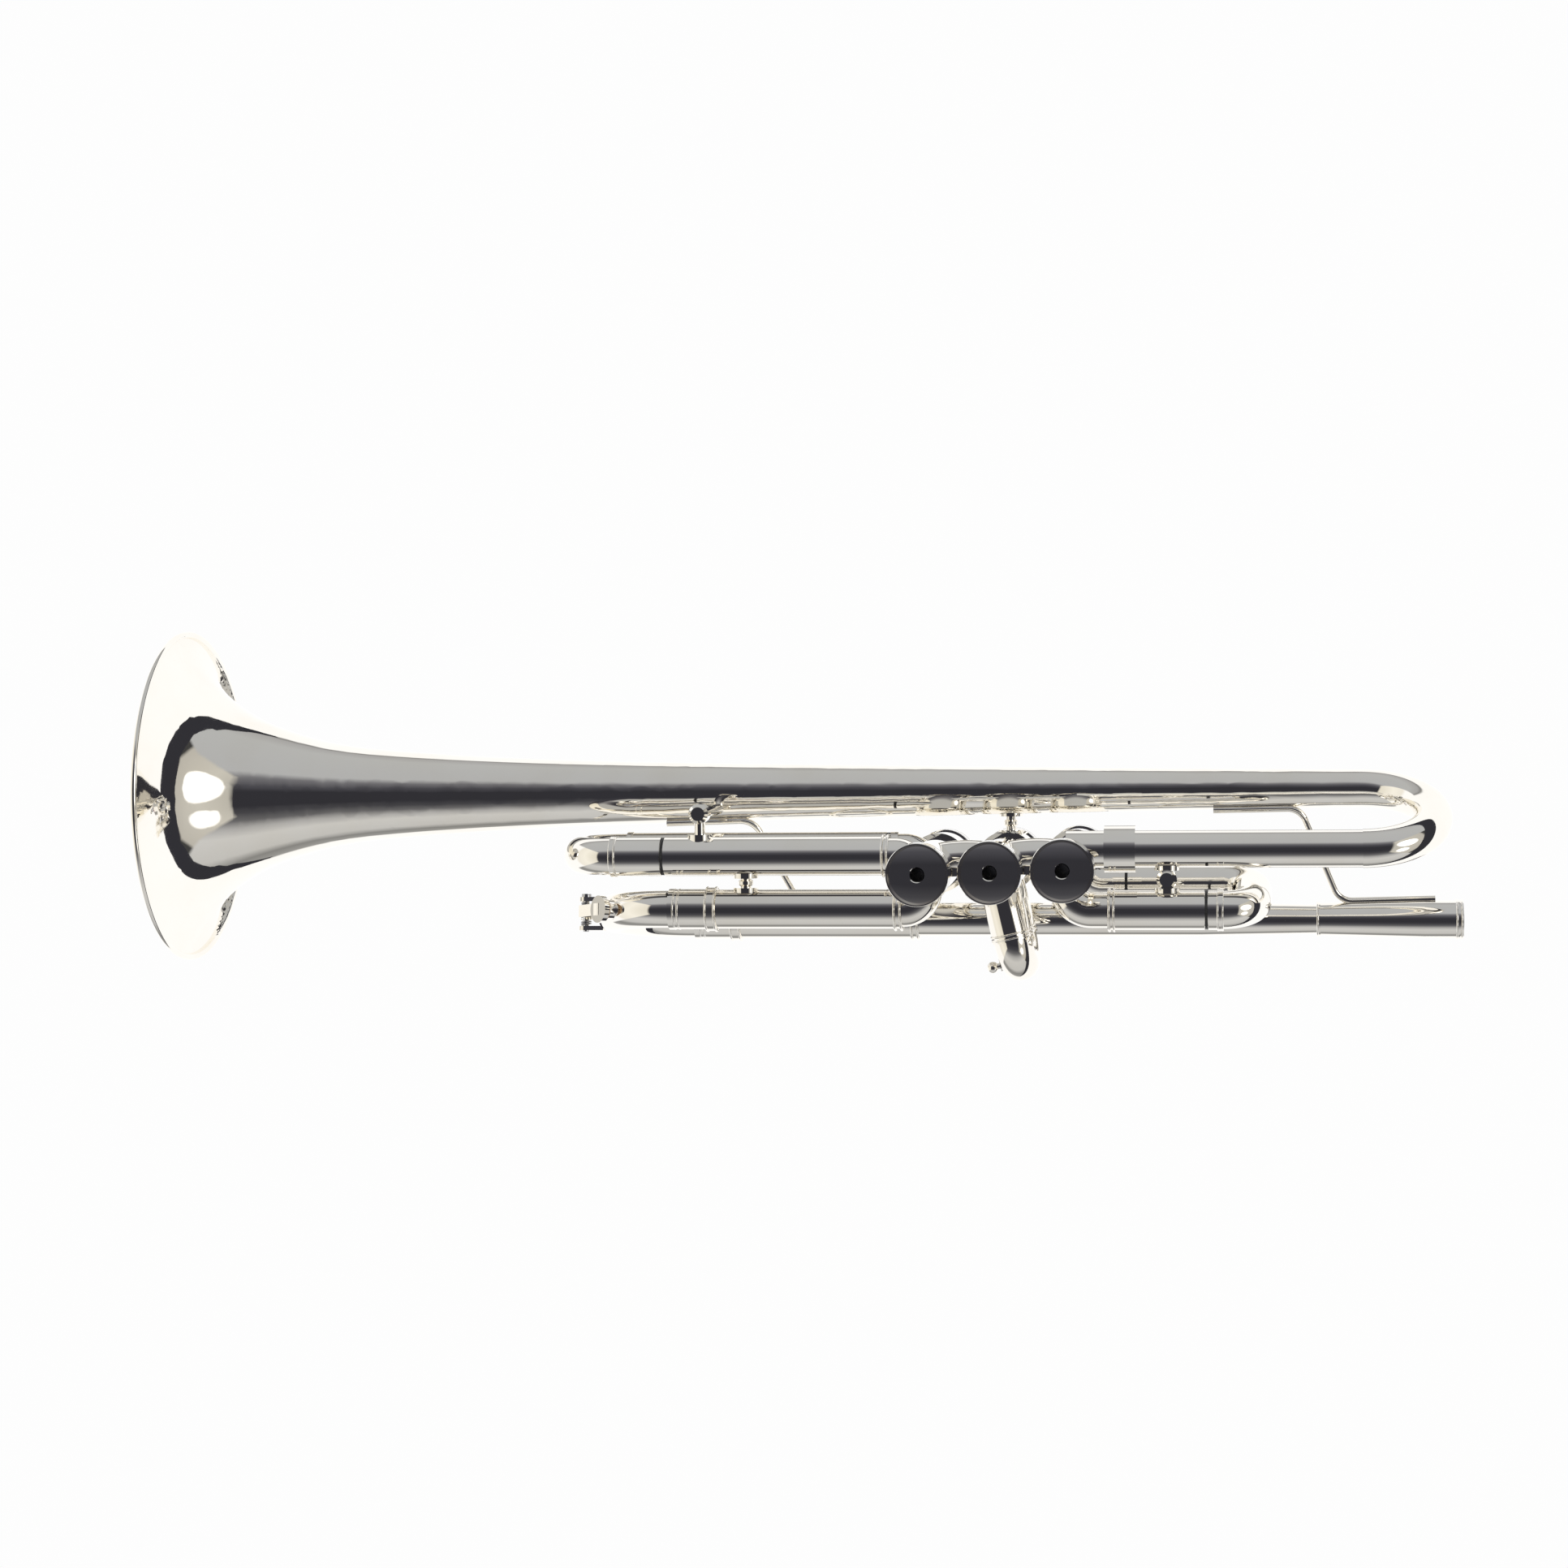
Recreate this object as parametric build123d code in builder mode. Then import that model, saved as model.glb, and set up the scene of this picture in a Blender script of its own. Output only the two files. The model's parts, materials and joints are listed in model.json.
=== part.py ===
"""A silver-plated B-flat trumpet with three piston valves, as its separate brazed, screwed and sliding parts.

Row frame, in millimetres: the origin is the centre of the mouthpiece receiver's mouth, on the leadpipe axis.
+X points out of the receiver towards the player, so the bell points along -X. +Y is the player's right, where
the leadpipe runs, and +Z is up, where the finger buttons are.
"""
from build123d import *
import os
from math import cos, radians, sin

os.makedirs("parts", exist_ok=True)

# ---------------------------------------------------------------- fits and walls
SLIDE_CLEARANCE = 0.05      # radial, a slide leg in its outer tube and a piston in its casing
LOOSE_CLEARANCE = 0.4       # radial, a stem through its top cap and a spring beside its stem
THREAD_CLEARANCE = 0.02     # radial, a screwed cap on its casing
STUB_STEP = 1.0             # how far an outer tube overlaps the knuckle brazed into its end
BUTT_GAP = 0.3              # between the ends of a moving sleeve and the fixed tube it closes on
LEAST_HOLD = 10.0           # length of a slide's leg still in its tube when the slide is pulled out
LEAST_RUN = 0.01            # a straight run shorter than this is left out of a path
SOLDER_OVERLAP = 1.0        # how far a post or nipple runs into a tube before it is coped to fit it
TUBE_WALL = 0.55            # slide legs and tuning tubes
SHEET_WALL = 0.6            # bell sheet and bell bow

# ---------------------------------------------------------------- tubing
BORE_R = 5.85               # half of the 11.7 mm bore
LEG_R = BORE_R + TUBE_WALL
SLIDE_BOW_R = LEG_R + 0.35
SLEEVE_BORE_R = LEG_R + SLIDE_CLEARANCE
SLEEVE_R = SLEEVE_BORE_R + 0.65
FERRULE_R = SLEEVE_R + 0.5
BEAD_RISE = 0.35            # a raised bead on a sleeve or receiver
SEAM_RISE = 0.2             # a sleeve a little thicker than its neighbour
BAND_RISE = 0.3             # a thicker band on a ferrule or rim
LOW_Z = -51.5               # axis of every lower leg
HIGH_Z = -21.5              # axis of the upper legs of the first and third slides
UP = Vector(0, 0, 1)
PLAYER = Vector(1, 0, 0)    # towards the player
RIGHT = Vector(0, 1, 0)     # towards the player's right

# ---------------------------------------------------------------- valves, first to third from the player
VALVE_X = -166.4            # second valve's axis
VALVE_Y = -22.2
VALVE_SPACING = 25.45
VALVE_TURN = 1.35           # degrees that the row of valves is turned from the bell's axis
BLOCK_BOTTOM = -77.0        # rims of the bottom caps
BLOCK_TOP = 26.0            # rims of the top caps
PISTON_R = 8.4
CASING_BORE_R = PISTON_R + SLIDE_CLEARANCE
CASING_R = 9.7
BALUSTER_R = 10.7
BALUSTER_BOTTOM = -7.0      # the casing is thicker above this height
SHOULDER_RISE = 0.4         # the two beads round a casing
SHOULDER_HEIGHT = 1.2
CROSSOVER_OFFSET = 1.8      # sideways from the valves' axes, at the ends and at the middle
CROSSOVER_BOW = 3.4
CAP_R = 11.2
CAP_EDGE = 0.4              # broken edges of the caps and pistons
GROOVE_HEIGHTS = (1.6, 6.5)
GROOVE_WIDTH = 0.6
GROOVE_DEPTH = 0.3
BOTTOM_CAP_HEIGHT = 9.0
TOP_CAP_HEIGHT = 9.0
CAP_FLOOR = 1.2
BOTTOM_FLOOR = 2.2          # the bottom caps have a thicker, domed floor
DOME_RISE = 1.4             # from the dome's edge, inside the rim, up to the rim's own level
CAP_FACE_R = 10.65
HUB_HEIGHT = 2.0
HUB_R = 6.6
VENT_R = 2.5
GUIDE_KEY_DEPTH = 0.55       # grooves in the casing that hold the valve guide
STROKE = 16.5
STEM_R = 2.6
BUTTON_R = 7.2
BUTTON_HEIGHT = 5.0
BUTTON_ROUND = 0.8
BUTTON_TAPER = 1.2
PEARL_R = 5.6
FELT_HEIGHT = 2.5
FELT_R = 5.6
PISTON_TOP = -12.0
BARREL_R = 7.6
BARREL_WALL = 0.8
BARREL_TOP = 22.0
GUIDE_HEIGHT = 3.0
GUIDE_R = 6.2
GUIDE_EAR_WIDTH = 3.0
SPRING_WIRE_R = 0.45
SPRING_TURNS = 6
CROSSOVER_Z = -36.5
PISTON_PORT_R = 5.6
PISTON_PORT_ANGLES = (75.0, 0.0, 100.0)     # degrees from +X, from the lowest port up
PEARL_SEAT = 1.2
PEARL_STANDS = 0.6          # the inlay's crown above the button's rim
STEM_THREAD = 2.5           # stem screwed into the button
WEB_HEIGHTS = (-66.0, -14.0)
WEB_HEIGHT = 5.0
WEB_THICK = 3.0
KNUCKLE_REACH = 9.0         # from a valve's axis to the corner of a side-entering tube
KNUCKLE_R = 7.0
KNUCKLE_ENTRY = 0.2         # share of the sideways step already taken at the valve's axis
ELBOW_R = 8.6
ELBOW_START = 4.0              # how far from the valve axis an elbow begins

# ---------------------------------------------------------------- bell, bow and tail
BELL_RIM_X = -483.8
BELL_Y = -48.4
BELL_Z = -4.8
BELL_RIM_R = 63.5           # half of the 127 mm bell
RIM_WIRE_R = 1.15
BOW_R = 6.85
BOW_START_X = -37.1         # where the bell tube starts to turn back
TAIL_Y = -29.0
TAIL_R = 6.65
TAIL_FERRULE = (-127.4, -116.4)
TAIL_FERRULE_R = 8.4
# Distance back from the rim, and outer radius of the sheet
BELL_OUTLINE = [(0.6, 62.4), (2.2, 57.2), (5.0, 50.6), (10.0, 43.2), (18.0, 36.2), (28.0, 30.0), (42.0, 24.4),
                (58.0, 20.1), (85.0, 16.6), (125.0, 13.9), (200.0, 11.2), (300.0, 9.1), (380.0, 7.7)]

# ---------------------------------------------------------------- leadpipe and receiver
RECEIVER_LENGTH = 52.9
RECEIVER_R = (5.9, 6.9)     # at the leadpipe and near the mouth
RECEIVER_SWELL_END = -14.0
RECEIVER_BAND = 1.4         # width of the raised bands round the receiver's ends
RECEIVER_MOUTH_R = 5.5      # straight land at the mouth
MOUTH_LAND = 6.0
RECEIVER_TAPER_DEPTH = 26.0
RECEIVER_THROAT_R = 4.75
LEADPIPE_SMALL_R = 5.3
LEADPIPE_R = 6.2
LEADPIPE_TAPER_END = -95.0
LEADPIPE_SEAT = -28.0       # end of the leadpipe inside the receiver
LEADPIPE_BORE_R = 4.4
LEADPIPE_END = -206.0       # front end, inside the upper tuning tube

# ---------------------------------------------------------------- main tuning slide
TUNING_TUBE = (-269.4, -199.6)
TUNING_LOW_Y = -7.8
TUNING_SLEEVE_END = -283.2
TUNING_BOW_X = -285.0       # where the bow starts to turn
TUNING_TRAVEL = 45.0
TUNING_LEG_LENGTH = TUNING_TRAVEL + LEAST_HOLD

# ---------------------------------------------------------------- third slide
THIRD_Y = -27.0
THIRD_TUBE = (-286.4, -204.3)
THIRD_SLEEVE_END = -306.4
THIRD_BOW_TIP = -326.8      # outside of the bow
THIRD_STUB_END = -207.6     # end of the fixed part of the upper leg
THIRD_TRAVEL = 19.0
THIRD_LEG_LENGTH = THIRD_TRAVEL + 5 * LEAST_HOLD
RING_X = -222.0
RING_R = 9.5                # finger opening
RING_WIRE_R = 1.3
RING_SINK = 0.5
RING_ROUND = 1.04
RING_FOOT = (7.0, 5.0)      # along and across the tube that the ring stands on
THIRD_STUB_LENGTH = 3.0

# ---------------------------------------------------------------- first slide
FIRST_LOW_Y = -7.4
FIRST_HIGH_Y = -14.8
FIRST_TUBE = (-126.4, -92.3)
FIRST_SLEEVE_END = -85.8
FIRST_BOW_TIP = -68.9
FIRST_STUB_END = -121.8
FIRST_TRAVEL = 22.0
FIRST_LEG_LENGTH = FIRST_TRAVEL + LEAST_HOLD
SADDLE_X = -98.0
SADDLE_R = 11.0             # inside of the thumb's U
SADDLE_WIDTH = 9.0
SADDLE_SINK = 0.6           # how far the U is coped down over its tube
SADDLE_THICK = 1.8
SADDLE_ARM = 8.0            # straight part of the U's arms
STUB_LENGTH = 4.0
BEAD_LENGTH = 1.6

# ---------------------------------------------------------------- second slide
KNOB_REACH = 10.4           # from the bow's centre line to the centre of its ball
KNOB_COLLAR_END = 7.6
SECOND_LEAN = 13.0          # degrees from +Y towards the player
SECOND_SPACING = 22.0
SECOND_TUBE_END = 24.3      # from the valve's axis
SECOND_BOW_START = 26.2
SECOND_TIP = 41.8           # outside of the bow
SECOND_TRAVEL = 8.0
SECOND_LEG_LENGTH = SECOND_TRAVEL + LEAST_HOLD / 2
KNOB_R = 2.1
KNOB_NECK_R = 1.1

# ---------------------------------------------------------------- water key
KEY_HINGE = (-36.6, -2.0)   # screw, from the bow's centre: along X and up the bow's plane
KEY_EAR_PLACE = 4.6         # inner faces of the saddle's ears, from the bow's plane
KEY_EAR_REACH = 7.0
KEY_SCREW_R = 1.1
KEY_LEVER_WIDTH = 4.4
KEY_STRIP_HALF = 0.8        # half of the lever's thickness
KEY_TRIM = 0.4              # small lips and edges of the key
KEY_NOSE = (-35.8, -15.0)   # the lever's bends in the bow's plane, from the cup up to the touch
KEY_NECK = (-38.1, 7.0)
KEY_TOUCH = ((-41.6, 15.0), (-42.2, 17.5), (-42.6, 23.0))
KEY_SLOT_WIDTH = 0.6
KEY_SLOT_DEPTH = 0.5
KEY_HEAD_HEIGHT = 1.2
KEY_BARREL_R = 2.3
KEY_SADDLE_THICK = 1.6
NIPPLE_R = 3.6
NIPPLE_HEIGHT = 2.2
NIPPLE_HOLE_R = 1.6
SEAT_GAP = 0.05             # cork just clear of its seat
CORK_R = 4.2
CORK_HEIGHT = 2.0
CORK_CUP_R = 5.0
CUP_LIP = 0.9               # the cork stands this far out of its cup
KEY_PADDLE_WIDTH = 7.0
KEY_SCREW_HEAD_R = 1.9
KEY_COIL_R = 1.75
KEY_COIL_WIRE_R = 0.3
KEY_COIL_PITCH = 0.75
KEY_COIL_TURNS = 2

# ---------------------------------------------------------------- braces and trim
BRACE_ROD_R = 1.3
REAR_BRACE_X = (-90.0, -58.5, -44.5, -10.0)    # two bends between the bell's run and the receiver's
REAR_BRACE_DROP = 3.5       # below the bell's axis where the rod lies against the bell
REAR_BRACE_LIFT = 0.8       # follows the receiver's swell
REAR_BRACE_CORNER = 7.0
FRONT_BRACE_X = (-294.0, -261.0, -246.0, -219.0)
FRONT_BRACE_DROP = 5.0
BRACE_SINK = 0.5            # the braces are coped this deep round the tubes they are soldered to
FRONT_BRACE_Z = -2.0
FRONT_BRACE_CORNER = 8.0
POST_R = 2.0
POST_DRUM = 1.2             # half of the length of the drum on a post
POST_DRUM_R = 2.7
FLANGE_R = 4.6
BOSS_R = 3.6
BOSS_HEIGHT = 7.0
BOSS_TOP = (1.0, 3.0)       # height of each drum's upper end over the lower legs' axes
BOSS_EDGE = 1.1
VALVE_POST_SHIFT = 1.5      # the bell's post at the second valve stands a little towards the player
VALVE_POST_Z = -2.8
BUMPER_LENGTH = 1.0
FERRULE_LENGTH = 3.6
RING_BAND = 1.1             # narrow bands round the ends of the tubes
FLANGE_THICK = 1.8
TUNING_POST_X = -257.0      # post between the third slide and the lower tuning tube
BOSS_X = -105.4             # drum-shaped post between the bell's tail and the first slide
FRONT_BOSS = (-273.7, -42.5)        # drum-footed post between the third slide and the bell
HOOK_X = -187.8
HOOK_R = 9.0
HOOK_THICK = 1.8
HOOK_WIDTH = 7.0
HOOK_FOOT = 12.0            # the strap's length along the leadpipe
HOOK_SINK = 0.2
HOOK_SWEEP = -190           # degrees the strap curls round
HOOK_TIP = 5.0


def valve_axis(number):
    """X and Y of a valve, the first nearest to the player."""
    reach = (2 - number) * VALVE_SPACING
    return VALVE_X + reach * cos(radians(VALVE_TURN)), VALVE_Y - reach * sin(radians(VALVE_TURN))


def line_of(*points):
    """A path of one straight run."""
    with BuildLine() as path:
        Polyline(*points)
    return path.line


def add_corner(corner, arriving, leaving, radius):
    """Draw the quarter circle that rounds a square corner, and return where it ends."""
    start = corner - arriving * radius
    end = corner + leaving * radius
    centre = start + leaving * radius
    middle = centre + (arriving - leaving).normalized() * radius
    ThreePointArc(start, middle, end)
    return end


def add_run(start, end):
    """Draw a straight run, if the two points are apart."""
    if (end - start).length > LEAST_RUN:
        Line(start, end)


def hairpin(start, end, out, depth):
    """A U-shaped path out from start by depth, across, and back to end, as round as its depth allows."""
    across = (end - start) - out * (end - start).dot(out)
    turn = across.normalized()
    radius = min(depth, across.length / 2)
    first = start + out * depth
    second = first + across
    with BuildLine() as path:
        add_run(start, first - out * radius)
        after = add_corner(first, out, turn, radius)
        add_run(after, second - turn * radius)
        last = add_corner(second, turn, -out, radius)
        add_run(last, end)
    return path.line


def pipe(path, outer, inner):
    """A round tube of one section along a path."""
    with BuildPart() as tube:
        with BuildSketch(Plane(path @ 0, z_dir=path % 0)):
            Circle(outer)
            Circle(inner, mode=Mode.SUBTRACT)
        sweep(path=path)
    return tube.part


def straight_pipe(start, end, outer, inner):
    """A round tube between two points."""
    return pipe(line_of(start, end), outer, inner)


def stepped_tube(place, way, bore, *steps):
    """A straight tube that starts at a place and runs along way, its outside given by steps.

    Each step is (distance, outer radius) for a stretch that ends there.
    A third value is that stretch's own bore.
    """
    outside = []
    inside = []
    begin = 0.0
    for step in steps:
        distance, outer = step[:2]
        hole = step[2] if len(step) > 2 else bore
        outside += [(begin, outer), (distance, outer)]
        inside += [(begin, hole), (distance, hole)]
        begin = distance
    side = way.cross(UP)
    return turned(Plane(place, x_dir=way, z_dir=side), outside + inside[::-1])


def rod(path, radius):
    """A round solid rod along a path."""
    with BuildPart() as bar:
        with BuildSketch(Plane(path @ 0, z_dir=path % 0)):
            Circle(radius)
        sweep(path=path)
    return bar.part


def cylinder_between(start, end, radius):
    """A plain cylinder between two points."""
    return rod(line_of(start, end), radius)


def without_repeats(points):
    """The points with each one that repeats the one before it left out."""
    return [point for before, point in zip([None, *points], points) if point != before]


def turned(plane, outline):
    """A solid turned about a plane's x axis, from an outline of (along, radius) corners."""
    with BuildPart() as solid:
        with BuildSketch(plane):
            with BuildLine():
                Polyline(*without_repeats(outline), close=True)
            make_face()
        revolve(axis=Axis(plane.origin, plane.x_dir))
    return solid.part


def along_x(x, y, z):
    """The plane whose x axis runs along a tube parallel to +X."""
    return Plane(origin=(x, y, z), x_dir=(1, 0, 0), z_dir=(0, -1, 0))


def keep(piece, name):
    """Label a finished piece and write it."""
    piece.label = name
    export_step(piece, f"parts/{name}.step")


# ================================================================= bell, rim wire, bow and tail
BELL_PLANE = along_x(BELL_RIM_X, BELL_Y, BELL_Z)
BELL_LENGTH = BOW_START_X - BELL_RIM_X



def bell_side(thickness):
    """The edge of the bell's outer surface, moved inwards by a thickness, as a spline from rim to bow."""
    corners = [Vector(*point) for point in (*BELL_OUTLINE, (BELL_LENGTH, BOW_R))]
    outer = Edge.make_spline(corners)
    if not thickness:
        return outer
    ways = [outer.tangent_at(outer.param_at_point(corner)) for corner in corners]
    moved = [corner + Vector(way.Y, -way.X) * thickness for corner, way in zip(corners, ways)]
    return Edge.make_spline(moved)


with BuildPart() as bell:
    with BuildSketch(BELL_PLANE):
        with BuildLine():
            outer_edge = bell_side(0)
            inner_edge = bell_side(SHEET_WALL)
            add(outer_edge)
            add(inner_edge)
            Line(outer_edge @ 0, inner_edge @ 0)
            Line(outer_edge @ 1, inner_edge @ 1)
        make_face()
    revolve(axis=Axis(BELL_PLANE.origin, BELL_PLANE.x_dir))
keep(bell.part, "bell")

with BuildPart() as bell_rim_wire:
    with BuildSketch(BELL_PLANE):
        with Locations((RIM_WIRE_R, BELL_RIM_R - RIM_WIRE_R)):
            Circle(RIM_WIRE_R)
    revolve(axis=Axis(BELL_PLANE.origin, BELL_PLANE.x_dir))
    add(bell.part, mode=Mode.SUBTRACT)
keep(bell_rim_wire.part, "bell_rim_wire")

bow_top = Vector(BOW_START_X, BELL_Y, BELL_Z)
bow_bottom = Vector(BOW_START_X, TAIL_Y, LOW_Z)
bow_turn_r = (bow_bottom - bow_top).length / 2
with BuildLine() as bow_path:
    ThreePointArc(bow_top, (bow_top + bow_bottom) / 2 + PLAYER * bow_turn_r, bow_bottom)
with BuildPart() as bell_bow:
    add(pipe(bow_path.line, BOW_R, BOW_R - SHEET_WALL))
keep(bell_bow.part, "bell_bow")

first_x, first_y = valve_axis(1)
with BuildPart() as bell_tail_tube:
    add(straight_pipe((first_x, TAIL_Y, LOW_Z), (BOW_START_X, TAIL_Y, LOW_Z), TAIL_R, TAIL_R - SHEET_WALL))
    with Locations((first_x, first_y, LOW_Z)):
        Cylinder(CASING_R, 4 * TAIL_R, mode=Mode.SUBTRACT)
keep(bell_tail_tube.part, "bell_tail_tube")



# ================================================================= valve casings, caps, webs and crossovers
CASING_BOTTOM = BLOCK_BOTTOM + BOTTOM_FLOOR
PISTON_BOTTOM = CASING_BOTTOM + STROKE + BUTT_GAP
CASING_TOP = BLOCK_TOP - CAP_FLOOR
CAP_BORE_R = CASING_R + THREAD_CLEARANCE
TOP_THREAD_R = CASING_R
GUIDE_BOTTOM = PISTON_TOP + BUTT_GAP
GUIDE_KEY_R = CASING_BORE_R + GUIDE_KEY_DEPTH
SECOND_WAY = Vector(sin(radians(SECOND_LEAN)), cos(radians(SECOND_LEAN)), 0)
SECOND_HIGH_Z = LOW_Z + SECOND_SPACING


def tower(x, y, z, height, radius):
    """A plain upright cylinder standing on height z."""
    with BuildPart() as solid:
        with BuildSketch(Plane((x, y, z))):
            Circle(radius)
        extrude(amount=height)
    return solid.part


def knuckle(number, y, z, end_x):
    """The path of a tube that leaves a valve and settles parallel to X at y, from the valve to end_x."""
    x0, y0 = valve_axis(number)
    side = 1 if end_x > x0 else -1
    corner = x0 + side * KNUCKLE_REACH
    with BuildLine() as path:
        FilletPolyline((x0, y0 + KNUCKLE_ENTRY * (y - y0), z), (corner, y, z), (end_x, y, z),
                       radius=KNUCKLE_R)
    return path.line


def elbow(number, y, z, end_x):
    """The path of a tube that enters a valve square to the row and turns to run along X at y."""
    x0, y0 = valve_axis(number)
    side = PLAYER if end_x > x0 else -PLAYER
    corner = Vector(x0, y, z)
    radius = min(ELBOW_R, abs(end_x - x0))
    with BuildLine() as path:
        Line(Vector(x0, y0 + ELBOW_START, z), corner - RIGHT * radius)
        after = add_corner(corner, RIGHT, side, radius)
        add_run(after, Vector(end_x, y, z))
    return path.line


def second_port(z):
    """The start and end of one of the second slide's outer tubes."""
    x0, y0 = valve_axis(2)
    axis = Vector(x0, y0, z)
    return axis, axis + SECOND_WAY * SECOND_TUBE_END


def crossover_path(left, right):
    """A short tube from one valve to the next, bowed a little to the player's left."""
    (x0, y0), (x1, y1) = valve_axis(left), valve_axis(right)
    with BuildLine() as path:
        ThreePointArc((x0, y0 - CROSSOVER_OFFSET, CROSSOVER_Z),
                      ((x0 + x1) / 2, (y0 + y1) / 2 - CROSSOVER_BOW, CROSSOVER_Z),
                      (x1, y1 - CROSSOVER_OFFSET, CROSSOVER_Z))
    return path.line


tail_path = knuckle(1, TAIL_Y, LOW_Z, BOW_START_X)
tuning_low_path = elbow(3, TUNING_LOW_Y, LOW_Z, TUNING_TUBE[1])
first_low_path = elbow(1, FIRST_LOW_Y, LOW_Z, FIRST_TUBE[0])
first_high_path = knuckle(1, FIRST_HIGH_Y, HIGH_Z, FIRST_STUB_END - STUB_LENGTH)
third_low_path = knuckle(3, THIRD_Y, LOW_Z, THIRD_TUBE[1])
third_high_path = knuckle(3, THIRD_Y, HIGH_Z, THIRD_STUB_END + THIRD_STUB_LENGTH)
CROSSOVERS = [crossover_path(3, 2), crossover_path(2, 1)]

# Air passages that open through each casing's wall
PORTS = {
    1: [tail_path, first_low_path, first_high_path, CROSSOVERS[1]],
    2: [line_of(*second_port(LOW_Z)), line_of(*second_port(SECOND_HIGH_Z)), *CROSSOVERS],
    3: [tuning_low_path, third_low_path, third_high_path, CROSSOVERS[0]],
}

def dome(x, y):
    """The low dome on a bottom cap's face, as a slice of a large ball."""
    ball_r = (CAP_FACE_R ** 2 + DOME_RISE ** 2) / (2 * DOME_RISE)
    with BuildPart() as slice_of_ball:
        with Locations((x, y, BLOCK_BOTTOM + ball_r)):
            Sphere(ball_r)
        add(tower(x, y, BLOCK_BOTTOM, BOTTOM_FLOOR, CAP_FACE_R), mode=Mode.INTERSECT)
    return slice_of_ball.part


casings = {}
for number, ports in PORTS.items():
    x, y = valve_axis(number)
    passages = [rod(path, BORE_R) for path in ports]
    with BuildPart() as valve_casing:
        with BuildSketch(Plane((x, y, CASING_BOTTOM))):
            Circle(CASING_R)
        extrude(amount=CASING_TOP - CASING_BOTTOM)
        with BuildSketch(Plane((x, y, BALUSTER_BOTTOM))):
            Circle(BALUSTER_R)
        extrude(amount=BLOCK_TOP - TOP_CAP_HEIGHT - BALUSTER_BOTTOM)
        for bead_z in (BALUSTER_BOTTOM, BLOCK_BOTTOM + BOTTOM_CAP_HEIGHT):
            with BuildSketch(Plane((x, y, bead_z))):
                Circle(BALUSTER_R + SHOULDER_RISE)
            extrude(amount=SHOULDER_HEIGHT)
        with BuildSketch(Plane((x, y, CASING_BOTTOM))):
            Circle(CASING_BORE_R)
        extrude(amount=CASING_TOP - CASING_BOTTOM, mode=Mode.SUBTRACT)
        with BuildSketch(Plane((x, y, GUIDE_BOTTOM))):
            Rectangle(2 * GUIDE_KEY_R, GUIDE_EAR_WIDTH + 2 * SLIDE_CLEARANCE)
        extrude(amount=CASING_TOP - GUIDE_BOTTOM, mode=Mode.SUBTRACT)
        add(passages, mode=Mode.SUBTRACT)
    casings[number] = valve_casing.part
    keep(valve_casing.part, f"valve_casing_{number}")

    with BuildPart() as bottom_cap:
        with BuildSketch(Plane((x, y, BLOCK_BOTTOM))):
            Circle(CAP_R)
        extrude(amount=BOTTOM_CAP_HEIGHT)
        chamfer(bottom_cap.edges().group_by(Axis.Z)[0], length=CAP_EDGE / 2)
        chamfer(bottom_cap.edges().group_by(Axis.Z)[-1], length=CAP_EDGE)
        with BuildSketch(Plane((x, y, CASING_BOTTOM))):
            Circle(CAP_BORE_R)
        extrude(amount=BOTTOM_CAP_HEIGHT, mode=Mode.SUBTRACT)
        with BuildSketch(Plane((x, y, BLOCK_BOTTOM))):
            Circle(CAP_FACE_R)
        extrude(amount=DOME_RISE, mode=Mode.SUBTRACT)
        add(dome(x, y))
        with Locations((x, y, BLOCK_BOTTOM + CAP_EDGE / 2)):
            Cone(VENT_R + CAP_EDGE, VENT_R, CAP_EDGE, mode=Mode.SUBTRACT)
        with BuildSketch(Plane((x, y, BLOCK_BOTTOM))):
            Circle(VENT_R)
        extrude(amount=BOTTOM_FLOOR, mode=Mode.SUBTRACT)
        for groove_z in GROOVE_HEIGHTS:
            with BuildSketch(Plane((x, y, BLOCK_BOTTOM + groove_z))):
                Circle(CAP_R)
                Circle(CAP_R - GROOVE_DEPTH, mode=Mode.SUBTRACT)
            extrude(amount=GROOVE_WIDTH, mode=Mode.SUBTRACT)
    keep(bottom_cap.part, f"bottom_cap_{number}")

    with BuildPart() as top_cap:
        with BuildSketch(Plane((x, y, BLOCK_TOP - TOP_CAP_HEIGHT))):
            Circle(CAP_R)
        extrude(amount=TOP_CAP_HEIGHT)
        chamfer(top_cap.edges().group_by(Axis.Z)[-1], length=CAP_EDGE)
        with BuildSketch(Plane((x, y, BLOCK_TOP))):
            Circle(HUB_R)
        extrude(amount=HUB_HEIGHT)
        with BuildSketch(Plane((x, y, BLOCK_TOP - TOP_CAP_HEIGHT))):
            Circle(TOP_THREAD_R + THREAD_CLEARANCE)
        extrude(amount=TOP_CAP_HEIGHT - CAP_FLOOR, mode=Mode.SUBTRACT)
        with BuildSketch(Plane((x, y, BLOCK_TOP - CAP_FLOOR))):
            Circle(STEM_R + LOOSE_CLEARANCE)
        extrude(amount=CAP_FLOOR + HUB_HEIGHT, mode=Mode.SUBTRACT)
        for groove_z in GROOVE_HEIGHTS:
            with BuildSketch(Plane((x, y, BLOCK_TOP - TOP_CAP_HEIGHT + groove_z))):
                Circle(CAP_R)
                Circle(CAP_R - GROOVE_DEPTH, mode=Mode.SUBTRACT)
            extrude(amount=GROOVE_WIDTH, mode=Mode.SUBTRACT)
    keep(top_cap.part, f"top_cap_{number}")


def clear_of_casings(piece, *numbers):
    """A brazed piece with the casings' outer walls cut out of it, so that it ends on them."""
    with BuildPart() as cut:
        add(piece)
        for number in numbers:
            add(tower(*valve_axis(number), CASING_BOTTOM, CASING_TOP - CASING_BOTTOM, CASING_R),
                mode=Mode.SUBTRACT)
    return cut.part


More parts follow.
